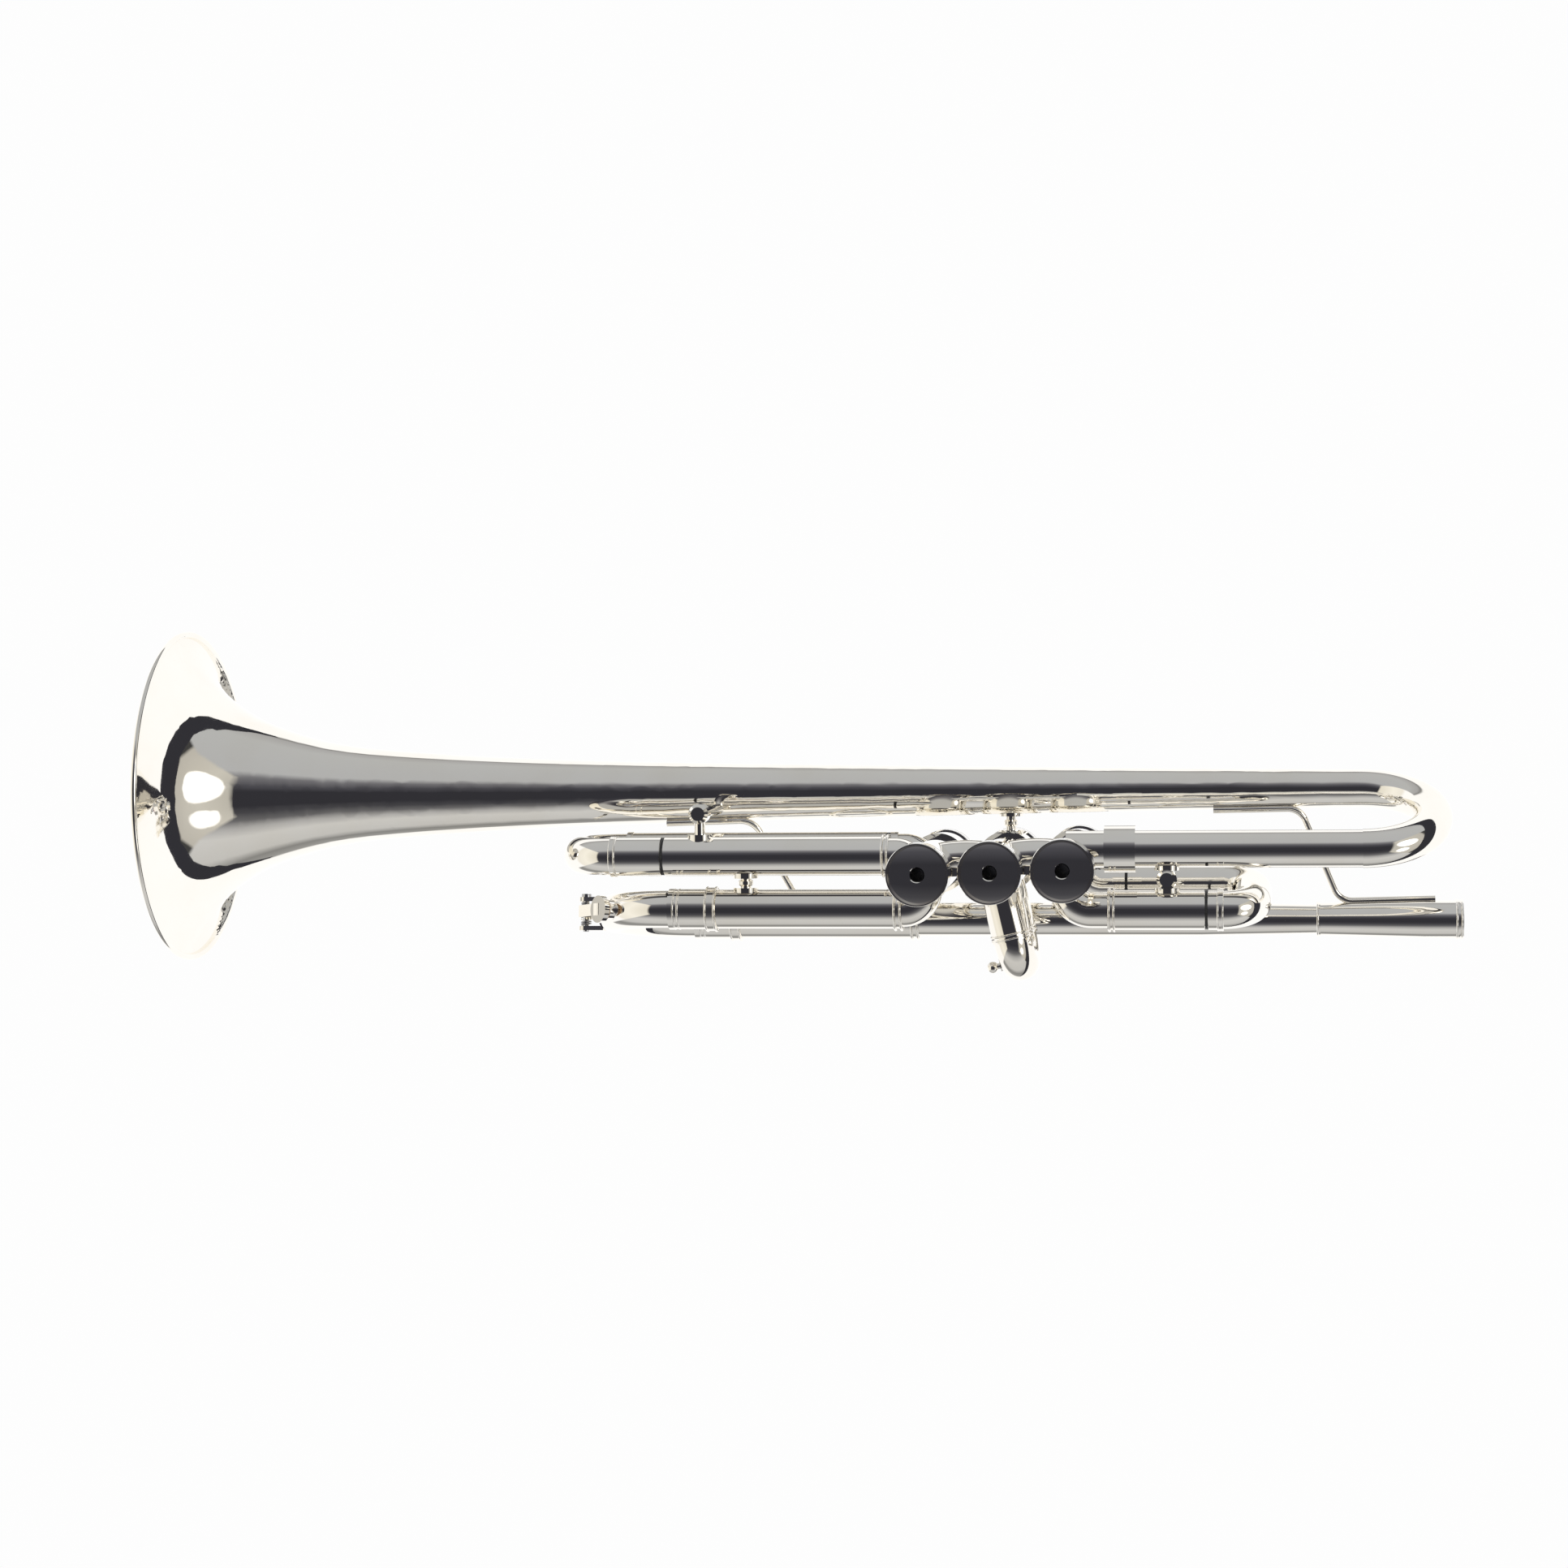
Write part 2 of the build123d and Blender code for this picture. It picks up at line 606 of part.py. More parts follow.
with BuildPart() as valve_crossovers:
    add(clear_of_casings(pipe(CROSSOVERS[0], LEG_R, BORE_R), 3, 2))
    add(clear_of_casings(pipe(CROSSOVERS[1], LEG_R, BORE_R), 2, 1))
keep(valve_crossovers.part, "valve_crossovers")

with BuildPart() as valve_webs:
    for left, right in ((3, 2), (2, 1)):
        (x0, y0), (x1, y1) = valve_axis(left), valve_axis(right)
        for web_z in WEB_HEIGHTS:
            with BuildSketch(Plane(((x0 + x1) / 2, (y0 + y1) / 2, web_z))):
                Rectangle(VALVE_SPACING, WEB_THICK, rotation=-VALVE_TURN)
            extrude(amount=WEB_HEIGHT)
    for number in (1, 2, 3):
        add(tower(*valve_axis(number), CASING_BOTTOM, BALUSTER_BOTTOM - CASING_BOTTOM, CASING_R),
            mode=Mode.SUBTRACT)
keep(valve_webs.part, "valve_webs")

# ============================================================== pistons, stems, buttons, guides and springs
BUTTON_BOTTOM = BLOCK_TOP + HUB_HEIGHT + FELT_HEIGHT + STROKE + BUTT_GAP
SLOT_HEIGHT = GUIDE_HEIGHT + STROKE + 2 * BUTT_GAP
SPRING_COIL_R = BARREL_R - BARREL_WALL - LOOSE_CLEARANCE - SPRING_WIRE_R
SPRING_BOTTOM = GUIDE_BOTTOM + GUIDE_HEIGHT + SPRING_WIRE_R
SPRING_HEIGHT = BARREL_TOP - BARREL_WALL - SPRING_WIRE_R - SPRING_BOTTOM

for number in (1, 2, 3):
    x, y = valve_axis(number)
    with BuildPart() as piston:
        with BuildSketch(Plane((x, y, PISTON_BOTTOM))):
            Circle(PISTON_R)
        extrude(amount=PISTON_TOP - PISTON_BOTTOM)
        chamfer(piston.edges(), length=CAP_EDGE)
        for port_z, port_angle in zip((LOW_Z, CROSSOVER_Z, HIGH_Z), PISTON_PORT_ANGLES):
            port_way = (cos(radians(port_angle)), sin(radians(port_angle)), 0)
            with BuildSketch(Plane((x, y, port_z), z_dir=port_way)):
                Circle(PISTON_PORT_R)
            extrude(amount=PISTON_R + 1, both=True, mode=Mode.SUBTRACT)
        with BuildSketch(Plane((x, y, PISTON_TOP))):
            Circle(BARREL_R)
            Circle(BARREL_R - BARREL_WALL, mode=Mode.SUBTRACT)
        extrude(amount=BARREL_TOP - PISTON_TOP)
        with BuildSketch(Plane((x, y, PISTON_TOP))):
            Rectangle(2 * PISTON_R, GUIDE_EAR_WIDTH + 2 * LOOSE_CLEARANCE)
        extrude(amount=SLOT_HEIGHT, mode=Mode.SUBTRACT)
        with BuildSketch(Plane((x, y, BARREL_TOP - BARREL_WALL))):
            Circle(BARREL_R)
        extrude(amount=BARREL_WALL)
    keep(piston.part, f"piston_{number}")

    with BuildPart() as piston_stem:
        with BuildSketch(Plane((x, y, BARREL_TOP))):
            Circle(STEM_R)
        extrude(amount=BUTTON_BOTTOM + STEM_THREAD - BARREL_TOP)
    keep(piston_stem.part, f"piston_stem_{number}")

    with BuildPart() as finger_button:
        with BuildSketch(Plane((x, y, BUTTON_BOTTOM))):
            Circle(BUTTON_R)
        extrude(amount=BUTTON_HEIGHT)
        fillet(finger_button.edges().group_by(Axis.Z)[-1], radius=BUTTON_ROUND)
        chamfer(finger_button.edges().group_by(Axis.Z)[0], length=BUTTON_TAPER)
        with BuildSketch(Plane((x, y, BUTTON_BOTTOM))):
            Circle(STEM_R)
        extrude(amount=STEM_THREAD, mode=Mode.SUBTRACT)
        with BuildSketch(Plane((x, y, BUTTON_BOTTOM + BUTTON_HEIGHT - PEARL_SEAT))):
            Circle(PEARL_R)
        extrude(amount=PEARL_SEAT, mode=Mode.SUBTRACT)
    keep(finger_button.part, f"finger_button_{number}")

    with BuildPart() as button_pearl:
        with BuildSketch(Plane((x, y, BUTTON_BOTTOM + BUTTON_HEIGHT - PEARL_SEAT))):
            Circle(PEARL_R)
        extrude(amount=PEARL_SEAT + PEARL_STANDS)
        fillet(button_pearl.edges().group_by(Axis.Z)[-1], radius=PEARL_STANDS)
    keep(button_pearl.part, f"button_pearl_{number}")

    with BuildPart() as valve_guide:
        with BuildSketch(Plane((x, y, GUIDE_BOTTOM))):
            Circle(GUIDE_R)
            Rectangle(2 * GUIDE_KEY_R - 2 * SLIDE_CLEARANCE, GUIDE_EAR_WIDTH)
        extrude(amount=GUIDE_HEIGHT)
    keep(valve_guide.part, f"valve_guide_{number}")

    with BuildPart() as valve_spring:
        with BuildLine() as coil:
            Helix(SPRING_HEIGHT / SPRING_TURNS, SPRING_HEIGHT, SPRING_COIL_R, center=(x, y, SPRING_BOTTOM))
        with BuildSketch(Plane(coil.line @ 0, z_dir=coil.line % 0)):
            Circle(SPRING_WIRE_R)
        sweep(path=coil.line, is_frenet=True)
    keep(valve_spring.part, f"valve_spring_{number}")

with BuildPart() as valve_felts:
    for number in (1, 2, 3):
        x, y = valve_axis(number)
        with BuildSketch(Plane((x, y, BLOCK_TOP + HUB_HEIGHT))):
            Circle(FELT_R)
            Circle(STEM_R + LOOSE_CLEARANCE, mode=Mode.SUBTRACT)
        extrude(amount=FELT_HEIGHT)
        with BuildSketch(Plane((x, y, BARREL_TOP + BUTT_GAP))):
            Circle(BARREL_R)
            Circle(STEM_R + LOOSE_CLEARANCE, mode=Mode.SUBTRACT)
        extrude(amount=BLOCK_TOP - CAP_FLOOR - BARREL_TOP - BUTT_GAP)
keep(valve_felts.part, "valve_felts")

# ================================================================= leadpipe and mouthpiece receiver
PIPE_PLANE = along_x(0, 0, 0)
RECEIVER_START = -RECEIVER_LENGTH

with BuildPart() as mouthpiece_receiver:
    add(turned(PIPE_PLANE, [
        (RECEIVER_START, LEADPIPE_SMALL_R),
        (RECEIVER_START, RECEIVER_R[0] + BAND_RISE),
        (RECEIVER_START + RECEIVER_BAND, RECEIVER_R[0] + BAND_RISE),
        (RECEIVER_START + RECEIVER_BAND, RECEIVER_R[0]),
        (RECEIVER_SWELL_END, RECEIVER_R[1]),
        (-2 * RECEIVER_BAND, RECEIVER_R[1]),
        (-2 * RECEIVER_BAND, RECEIVER_R[1] + BAND_RISE),
        (-RECEIVER_BAND, RECEIVER_R[1] + BAND_RISE),
        (-RECEIVER_BAND, RECEIVER_R[1]),
        (0, RECEIVER_R[1]),
        (0, RECEIVER_MOUTH_R),
        (-MOUTH_LAND, RECEIVER_MOUTH_R),
        (-RECEIVER_TAPER_DEPTH, RECEIVER_THROAT_R),
        (LEADPIPE_SEAT, RECEIVER_THROAT_R),
        (LEADPIPE_SEAT, LEADPIPE_SMALL_R),
    ]))
keep(mouthpiece_receiver.part, "mouthpiece_receiver")

with BuildPart() as leadpipe:
    add(turned(PIPE_PLANE, [
        (LEADPIPE_SEAT, LEADPIPE_BORE_R),
        (LEADPIPE_SEAT, LEADPIPE_SMALL_R),
        (RECEIVER_START, LEADPIPE_SMALL_R),
        (LEADPIPE_TAPER_END, LEADPIPE_R),
        (LEADPIPE_END, LEADPIPE_R),
        (LEADPIPE_END, LEADPIPE_R - TUBE_WALL),
    ]))
keep(leadpipe.part, "leadpipe")

# ================================================================= main tuning slide
with BuildPart() as tuning_upper_tube:
    add(stepped_tube(Vector(TUNING_TUBE[0], 0, 0), PLAYER, SLEEVE_BORE_R,
                     (LEADPIPE_END - TUNING_TUBE[0], SLEEVE_R),
                     (TUNING_TUBE[1] - TUNING_TUBE[0], SLEEVE_R, LEADPIPE_R)))
keep(tuning_upper_tube.part, "tuning_upper_tube")

with BuildPart() as tuning_lower_tube:
    add(stepped_tube(Vector(TUNING_TUBE[0], TUNING_LOW_Y, LOW_Z), PLAYER, SLEEVE_BORE_R,
                     (TUNING_TUBE[1] - STUB_STEP - TUNING_TUBE[0], SLEEVE_R),
                     (TUNING_TUBE[1] - TUNING_TUBE[0], SLEEVE_R, BORE_R)))
    add(clear_of_casings(pipe(tuning_low_path, LEG_R, BORE_R), 3))
keep(tuning_lower_tube.part, "tuning_lower_tube")

tuning_high = Vector(TUNING_BOW_X, 0, 0)
tuning_low = Vector(TUNING_BOW_X, TUNING_LOW_Y, LOW_Z)
TUNING_BOW_TURN = (tuning_high - tuning_low).length / 2
TUNING_SLEEVE_START = TUNING_TUBE[0] - FERRULE_LENGTH / 2 - BUTT_GAP
tuning_path = hairpin(tuning_high, tuning_low, -PLAYER, TUNING_BOW_TURN)
with BuildPart() as tuning_slide_bow:
    add(pipe(tuning_path, SLIDE_BOW_R, BORE_R))
    for leg in (tuning_high, tuning_low):
        add(stepped_tube(leg, PLAYER, BORE_R,
                         (TUNING_SLEEVE_END - TUNING_BOW_X, SLEEVE_R + BEAD_RISE),
                         (TUNING_SLEEVE_START - TUNING_BOW_X, SLEEVE_R + SEAM_RISE),
                         (TUNING_SLEEVE_START - TUNING_BOW_X + TUNING_LEG_LENGTH, LEG_R)))
keep(tuning_slide_bow.part, "tuning_slide_bow")


# ================================================================= first slide
FIRST_SLEEVE_START = FIRST_TUBE[1] + BUTT_GAP + BUMPER_LENGTH
FIRST_UPPER_START = FIRST_STUB_END + BUTT_GAP + BUMPER_LENGTH
first_low = Vector(FIRST_SLEEVE_END, FIRST_LOW_Y, LOW_Z)
first_high = Vector(FIRST_SLEEVE_END, FIRST_HIGH_Y, HIGH_Z)
first_path = hairpin(first_low, first_high, PLAYER, FIRST_BOW_TIP - SLIDE_BOW_R - FIRST_SLEEVE_END)



def slide_leg(place, way, sleeve, leg):
    """A moving slide's inner leg from the end of its bow: a bead, a sleeve and then the leg."""
    return stepped_tube(place, way, BORE_R,
                        (BEAD_LENGTH, SLEEVE_R + BEAD_RISE), (sleeve, SLEEVE_R), (sleeve + leg, LEG_R))


def slide_cover(place, way, length):
    """A moving slide's outer leg, which slides over a fixed inner tube."""
    return stepped_tube(place, way, SLEEVE_BORE_R, (BEAD_LENGTH, SLEEVE_R + BEAD_RISE, BORE_R),
                        (length, SLEEVE_R))


with BuildPart() as first_slide_tubes:
    add(clear_of_casings(pipe(first_low_path, LEG_R, BORE_R), 1))
    add(stepped_tube(Vector(FIRST_TUBE[0], FIRST_LOW_Y, LOW_Z), PLAYER, SLEEVE_BORE_R,
                     (STUB_STEP, SLEEVE_R, BORE_R), (FIRST_TUBE[1] - FIRST_TUBE[0], SLEEVE_R)))
    add(clear_of_casings(pipe(first_high_path, LEG_R, BORE_R), 1))
    add(stepped_tube(Vector(FIRST_STUB_END - STUB_LENGTH, FIRST_HIGH_Y, HIGH_Z), PLAYER, BORE_R,
                     (STUB_LENGTH, SLEEVE_R), (STUB_LENGTH + FIRST_LEG_LENGTH, LEG_R)))
keep(first_slide_tubes.part, "first_slide_tubes")

with BuildPart() as first_slide_bow:
    add(pipe(first_path, SLIDE_BOW_R, BORE_R))
    add(slide_leg(first_low, -PLAYER, FIRST_SLEEVE_END - FIRST_SLEEVE_START, FIRST_LEG_LENGTH))
    add(slide_cover(first_high, -PLAYER, FIRST_SLEEVE_END - FIRST_UPPER_START))
keep(first_slide_bow.part, "first_slide_bow")


def bumper_ring(start_x, y, z):
    """A rubber ring in the gap between a fixed tube and the sleeve that closes on it."""
    return straight_pipe((start_x + BUTT_GAP / 2, y, z), (start_x + BUTT_GAP / 2 + BUMPER_LENGTH, y, z),
                         SLEEVE_R - BUTT_GAP, SLEEVE_BORE_R)


with BuildPart() as first_slide_bumpers:
    add(bumper_ring(FIRST_TUBE[1], FIRST_LOW_Y, LOW_Z))
    add(bumper_ring(FIRST_STUB_END, FIRST_HIGH_Y, HIGH_Z))
keep(first_slide_bumpers.part, "first_slide_bumpers")

SADDLE_BASE_Z = HIGH_Z + SLEEVE_R - SADDLE_SINK
with BuildPart() as thumb_saddle:
    with BuildSketch(along_x(SADDLE_X, FIRST_HIGH_Y, SADDLE_BASE_Z + SADDLE_THICK + SADDLE_R)):
        Circle(SADDLE_R + SADDLE_THICK)
        with Locations((0, SADDLE_ARM / 2)):
            Rectangle(2 * (SADDLE_R + SADDLE_THICK), SADDLE_ARM)
        Circle(SADDLE_R, mode=Mode.SUBTRACT)
        with Locations((0, SADDLE_ARM)):
            Rectangle(2 * SADDLE_R, 2 * SADDLE_ARM, mode=Mode.SUBTRACT)
        with Locations((0, SADDLE_ARM + SADDLE_R)):
            Rectangle(4 * SADDLE_R, 2 * SADDLE_R, mode=Mode.SUBTRACT)
    extrude(amount=SADDLE_WIDTH / 2, both=True)
    add(cylinder_between((FIRST_UPPER_START, FIRST_HIGH_Y, HIGH_Z), first_high, SLEEVE_R), mode=Mode.SUBTRACT)
keep(thumb_saddle.part, "thumb_saddle")

# ================================================================= second slide
second_out = SECOND_WAY
second_legs = {}
for leg_z in (LOW_Z, SECOND_HIGH_Z):
    axis_point, tube_end = second_port(leg_z)
    second_legs[leg_z] = (axis_point, tube_end)

with BuildPart() as second_slide_tubes:
    for axis_point, tube_end in second_legs.values():
        add(clear_of_casings(straight_pipe(axis_point, tube_end, SLEEVE_R, SLEEVE_BORE_R), 2))
keep(second_slide_tubes.part, "second_slide_tubes")

second_axis = Vector(*valve_axis(2), 0)
second_start = [second_axis + second_out * SECOND_BOW_START + UP * leg_z for leg_z in (LOW_Z, SECOND_HIGH_Z)]
second_depth = SECOND_TIP - SLIDE_BOW_R - SECOND_BOW_START
second_path = hairpin(*second_start, second_out, second_depth)
second_sleeve = SECOND_BOW_START - SECOND_TUBE_END - BUTT_GAP
with BuildPart() as second_slide_bow:
    add(pipe(second_path, SLIDE_BOW_R, BORE_R))
    for start in second_start:
        add(stepped_tube(start, -second_out, BORE_R, (second_sleeve, SLEEVE_R + BAND_RISE),
                         (second_sleeve + SECOND_LEG_LENGTH, LEG_R)))
keep(second_slide_bow.part, "second_slide_bow")

knob_way = Vector(-second_out.Y, second_out.X, 0)
knob_root = second_axis + second_out * (SECOND_TIP - SLIDE_BOW_R) + UP * (LOW_Z + SECOND_HIGH_Z) / 2
ball_start = KNOB_REACH - (KNOB_R ** 2 - KNOB_NECK_R ** 2) ** 0.5
with BuildPart() as second_slide_knob:
    with BuildSketch(Plane(knob_root, x_dir=knob_way, z_dir=UP)):
        with BuildLine():
            Polyline((0, 0), (0, KNOB_R), (KNOB_COLLAR_END, KNOB_R), (KNOB_COLLAR_END, KNOB_NECK_R),
                     (ball_start, KNOB_NECK_R))
            ThreePointArc((ball_start, KNOB_NECK_R), (KNOB_REACH, KNOB_R), (KNOB_REACH + KNOB_R, 0))
            Line((KNOB_REACH + KNOB_R, 0), (0, 0))
        make_face()
    revolve(axis=Axis(knob_root, knob_way))
    add(rod(second_path, SLIDE_BOW_R), mode=Mode.SUBTRACT)
keep(second_slide_knob.part, "second_slide_knob")

# ================================================================= third slide
THIRD_SLEEVE_START = THIRD_TUBE[0] - BUTT_GAP - BUMPER_LENGTH
THIRD_UPPER_START = THIRD_STUB_END - BUTT_GAP - BUMPER_LENGTH
third_low = Vector(THIRD_SLEEVE_END, THIRD_Y, LOW_Z)
third_high = Vector(THIRD_SLEEVE_END, THIRD_Y, HIGH_Z)
third_path = hairpin(third_low, third_high, -PLAYER, THIRD_SLEEVE_END - THIRD_BOW_TIP - SLIDE_BOW_R)

with BuildPart() as third_slide_tubes:
    add(clear_of_casings(pipe(third_low_path, LEG_R, BORE_R), 3))
    add(stepped_tube(Vector(THIRD_TUBE[1], THIRD_Y, LOW_Z), -PLAYER, SLEEVE_BORE_R,
                     (STUB_STEP, SLEEVE_R, BORE_R), (THIRD_TUBE[1] - THIRD_TUBE[0], SLEEVE_R)))
    add(clear_of_casings(pipe(third_high_path, LEG_R, BORE_R), 3))
    add(stepped_tube(Vector(THIRD_STUB_END + THIRD_STUB_LENGTH, THIRD_Y, HIGH_Z), -PLAYER, BORE_R,
                     (THIRD_STUB_LENGTH, SLEEVE_R), (THIRD_STUB_LENGTH + THIRD_LEG_LENGTH, LEG_R)))
keep(third_slide_tubes.part, "third_slide_tubes")

with BuildPart() as third_slide_bow:
    add(pipe(third_path, SLIDE_BOW_R, BORE_R))
    add(slide_leg(third_low, PLAYER, THIRD_SLEEVE_START - THIRD_SLEEVE_END, THIRD_LEG_LENGTH))
    add(slide_cover(third_high, PLAYER, THIRD_UPPER_START - THIRD_SLEEVE_END))
keep(third_slide_bow.part, "third_slide_bow")

with BuildPart() as third_slide_bumpers:
    add(bumper_ring(THIRD_TUBE[0] - BUTT_GAP - BUMPER_LENGTH, THIRD_Y, LOW_Z))
    add(bumper_ring(THIRD_STUB_END - BUTT_GAP - BUMPER_LENGTH, THIRD_Y, HIGH_Z))
keep(third_slide_bumpers.part, "third_slide_bumpers")

RING_CENTRE_Z = HIGH_Z + SLEEVE_R + RING_R + 2 * RING_WIRE_R - RING_SINK
with BuildPart() as third_slide_ring:
    with BuildSketch(along_x(RING_X, THIRD_Y, RING_CENTRE_Z)):
        Circle(RING_R + 2 * RING_WIRE_R)
        Circle(RING_R, mode=Mode.SUBTRACT)
    extrude(amount=RING_WIRE_R, both=True)
    fillet(third_slide_ring.edges(), radius=RING_ROUND)
    with BuildSketch(along_x(RING_X, THIRD_Y, RING_CENTRE_Z - RING_R - RING_WIRE_R)):
        Rectangle(RING_FOOT[0], 2 * RING_WIRE_R)
    extrude(amount=RING_FOOT[1] / 2, both=True)
    add(cylinder_between((THIRD_UPPER_START, THIRD_Y, HIGH_Z), third_high, SLEEVE_R), mode=Mode.SUBTRACT)
keep(third_slide_ring.part, "third_slide_ring")


# ================================================================= water key
KEY_CENTRE = (tuning_high + tuning_low) / 2
KEY_UP = (tuning_high - tuning_low).normalized()
KEY_SIDE = PLAYER.cross(KEY_UP)
KEY_PLANE = Plane(KEY_CENTRE, x_dir=PLAYER, z_dir=KEY_SIDE)
NIPPLE_WAY = KEY_PLANE.from_local_coords(Vector(-1, -1, 0)) - KEY_CENTRE
NIPPLE_WAY = NIPPLE_WAY.normalized()
NIPPLE_SEAT = KEY_CENTRE + NIPPLE_WAY * (TUNING_BOW_TURN + SLIDE_BOW_R - SOLDER_OVERLAP)
CORK_SEAT = NIPPLE_SEAT + NIPPLE_WAY * (SOLDER_OVERLAP + NIPPLE_HEIGHT)
tuning_bow_solid = rod(tuning_path, SLIDE_BOW_R)

with BuildPart() as water_key_cork:
    add(cylinder_between(CORK_SEAT + NIPPLE_WAY * SEAT_GAP, CORK_SEAT + NIPPLE_WAY * CORK_HEIGHT, CORK_R))
keep(water_key_cork.part, "water_key_cork")

key_hinge = Vector(*KEY_HINGE, 0)
with BuildPart() as water_key_mounts:
    add(cylinder_between(NIPPLE_SEAT - NIPPLE_WAY * NIPPLE_HEIGHT, CORK_SEAT, NIPPLE_R))
    for side in (-1, 1):
        with BuildSketch(KEY_PLANE.offset(side * KEY_EAR_PLACE)):
            with Locations(key_hinge):
                Circle(KEY_BARREL_R + KEY_TRIM)
            with Locations((key_hinge.X + KEY_EAR_REACH / 2, key_hinge.Y)):
                Rectangle(KEY_EAR_REACH, 2 * (KEY_BARREL_R + KEY_TRIM))
            with Locations(key_hinge):
                Circle(KEY_SCREW_R, mode=Mode.SUBTRACT)
        extrude(amount=side * KEY_SADDLE_THICK)
    add(tuning_bow_solid, mode=Mode.SUBTRACT)
    add(cylinder_between(NIPPLE_SEAT - NIPPLE_WAY * 2 * NIPPLE_HEIGHT, CORK_SEAT, NIPPLE_HOLE_R),
        mode=Mode.SUBTRACT)
keep(water_key_mounts.part, "water_key_mounts")

key_outer = KEY_EAR_PLACE + KEY_SADDLE_THICK
with BuildPart() as water_key_screw:
    with BuildSketch(KEY_PLANE.offset(-key_outer - KEY_TRIM)):
        with Locations(key_hinge):
            Circle(KEY_SCREW_R)
    extrude(amount=2 * key_outer + KEY_TRIM)
    with BuildSketch(KEY_PLANE.offset(key_outer)):
        with Locations(key_hinge):
            Circle(KEY_SCREW_HEAD_R)
    extrude(amount=KEY_HEAD_HEIGHT)
    with BuildSketch(KEY_PLANE.offset(key_outer + KEY_HEAD_HEIGHT - KEY_SLOT_DEPTH)):
        with Locations(key_hinge):
            Rectangle(KEY_SLOT_WIDTH, 3 * KEY_SCREW_HEAD_R, rotation=35)
    extrude(amount=KEY_SLOT_DEPTH, mode=Mode.SUBTRACT)
keep(water_key_screw.part, "water_key_screw")

CUP_BACK = TUNING_BOW_TURN + SLIDE_BOW_R + NIPPLE_HEIGHT + CORK_HEIGHT
cup_root = Vector(-1, -1, 0).normalized() * (CUP_BACK + KEY_TRIM)
with BuildPart() as water_key_lever:
    with BuildSketch(KEY_PLANE.offset(-KEY_LEVER_WIDTH / 2)):
        with BuildLine():
            Polyline(cup_root, KEY_NOSE, KEY_HINGE, KEY_NECK, KEY_TOUCH[0])
            offset(amount=KEY_STRIP_HALF)
        make_face()
        with Locations(key_hinge):
            Circle(KEY_BARREL_R)
    extrude(amount=KEY_LEVER_WIDTH)
    with BuildSketch(KEY_PLANE.offset(-KEY_PADDLE_WIDTH / 2)):
        with BuildLine():
            Polyline(*KEY_TOUCH)
            offset(amount=KEY_STRIP_HALF)
        make_face()
    extrude(amount=KEY_PADDLE_WIDTH)
    add(cylinder_between(CORK_SEAT + NIPPLE_WAY * CUP_LIP,
                         CORK_SEAT + NIPPLE_WAY * (CORK_HEIGHT + CUP_LIP), CORK_CUP_R))
    add(cylinder_between(CORK_SEAT, CORK_SEAT + NIPPLE_WAY * CORK_HEIGHT, CORK_R), mode=Mode.SUBTRACT)
    with BuildSketch(KEY_PLANE.offset(-KEY_LEVER_WIDTH)):
        with Locations(key_hinge):
            Circle(KEY_SCREW_R + SLIDE_CLEARANCE)
    extrude(amount=2 * KEY_LEVER_WIDTH, mode=Mode.SUBTRACT)
keep(water_key_lever.part, "water_key_lever")

with BuildPart() as water_key_spring:
    for side in (-1, 1):
        coil_start = KEY_PLANE.from_local_coords(key_hinge + UP * side * (KEY_LEVER_WIDTH / 2 + KEY_TRIM))
        with BuildLine() as key_coil:
            Helix(KEY_COIL_PITCH, KEY_COIL_TURNS * KEY_COIL_PITCH, KEY_COIL_R, center=coil_start,
                  direction=KEY_SIDE * side)
        with BuildSketch(Plane(key_coil.line @ 0, z_dir=key_coil.line % 0)):
            Circle(KEY_COIL_WIRE_R)
        sweep(path=key_coil.line, is_frenet=True)
keep(water_key_spring.part, "water_key_spring")

# ================================================================= braces, ferrules and finger hook


def bell_radius(x):
    """Outer radius of the bell tube at a height x, straight between the outline's points."""
    outline_points = [*BELL_OUTLINE, (BELL_LENGTH, BOW_R)]
    along = x - BELL_RIM_X
    for (near, near_r), (far, far_r) in zip(outline_points, outline_points[1:]):
        if along <= far:
            return near_r + (far_r - near_r) * (along - near) / (far - near)
    return BOW_R


def beside_bell(x, drop):
    """The centre of a brace rod lying against the bell's right side, drop below the bell's axis."""
    reach = bell_radius(x) + BRACE_ROD_R - BRACE_SINK
    return x, BELL_Y + (reach ** 2 - drop ** 2) ** 0.5, BELL_Z - drop


def s_brace(points, corner_r, name):
    """A bent rod from the bell across to the leadpipe side, cut clear of the tubes that it is soldered to."""
    with BuildLine() as route:
        FilletPolyline(*points, radius=corner_r)
    with BuildPart() as brace:
        add(rod(route.line, BRACE_ROD_R))
        add(bell_solid, mode=Mode.SUBTRACT)
        add(lead_solid, mode=Mode.SUBTRACT)
    keep(brace.part, name)


with BuildPart() as bell_body:
    with BuildSketch(BELL_PLANE):
        with BuildLine():
            bell_edge = bell_side(0)
            add(bell_edge)
            Polyline(bell_edge @ 1, (BELL_LENGTH, 0), (BELL_OUTLINE[0][0], 0), bell_edge @ 0)
        make_face()
    revolve(axis=Axis(BELL_PLANE.origin, BELL_PLANE.x_dir))
bell_solid = bell_body.part
receiver_body = turned(PIPE_PLANE, [(RECEIVER_START, 0),
                                    (RECEIVER_START, RECEIVER_R[0] + BAND_RISE),
                                    (RECEIVER_START + RECEIVER_BAND, RECEIVER_R[0] + BAND_RISE),
                                    (RECEIVER_START + RECEIVER_BAND, RECEIVER_R[0]),
                                    (RECEIVER_SWELL_END, RECEIVER_R[1]),
                                    (0, RECEIVER_R[1]), (0, 0)])
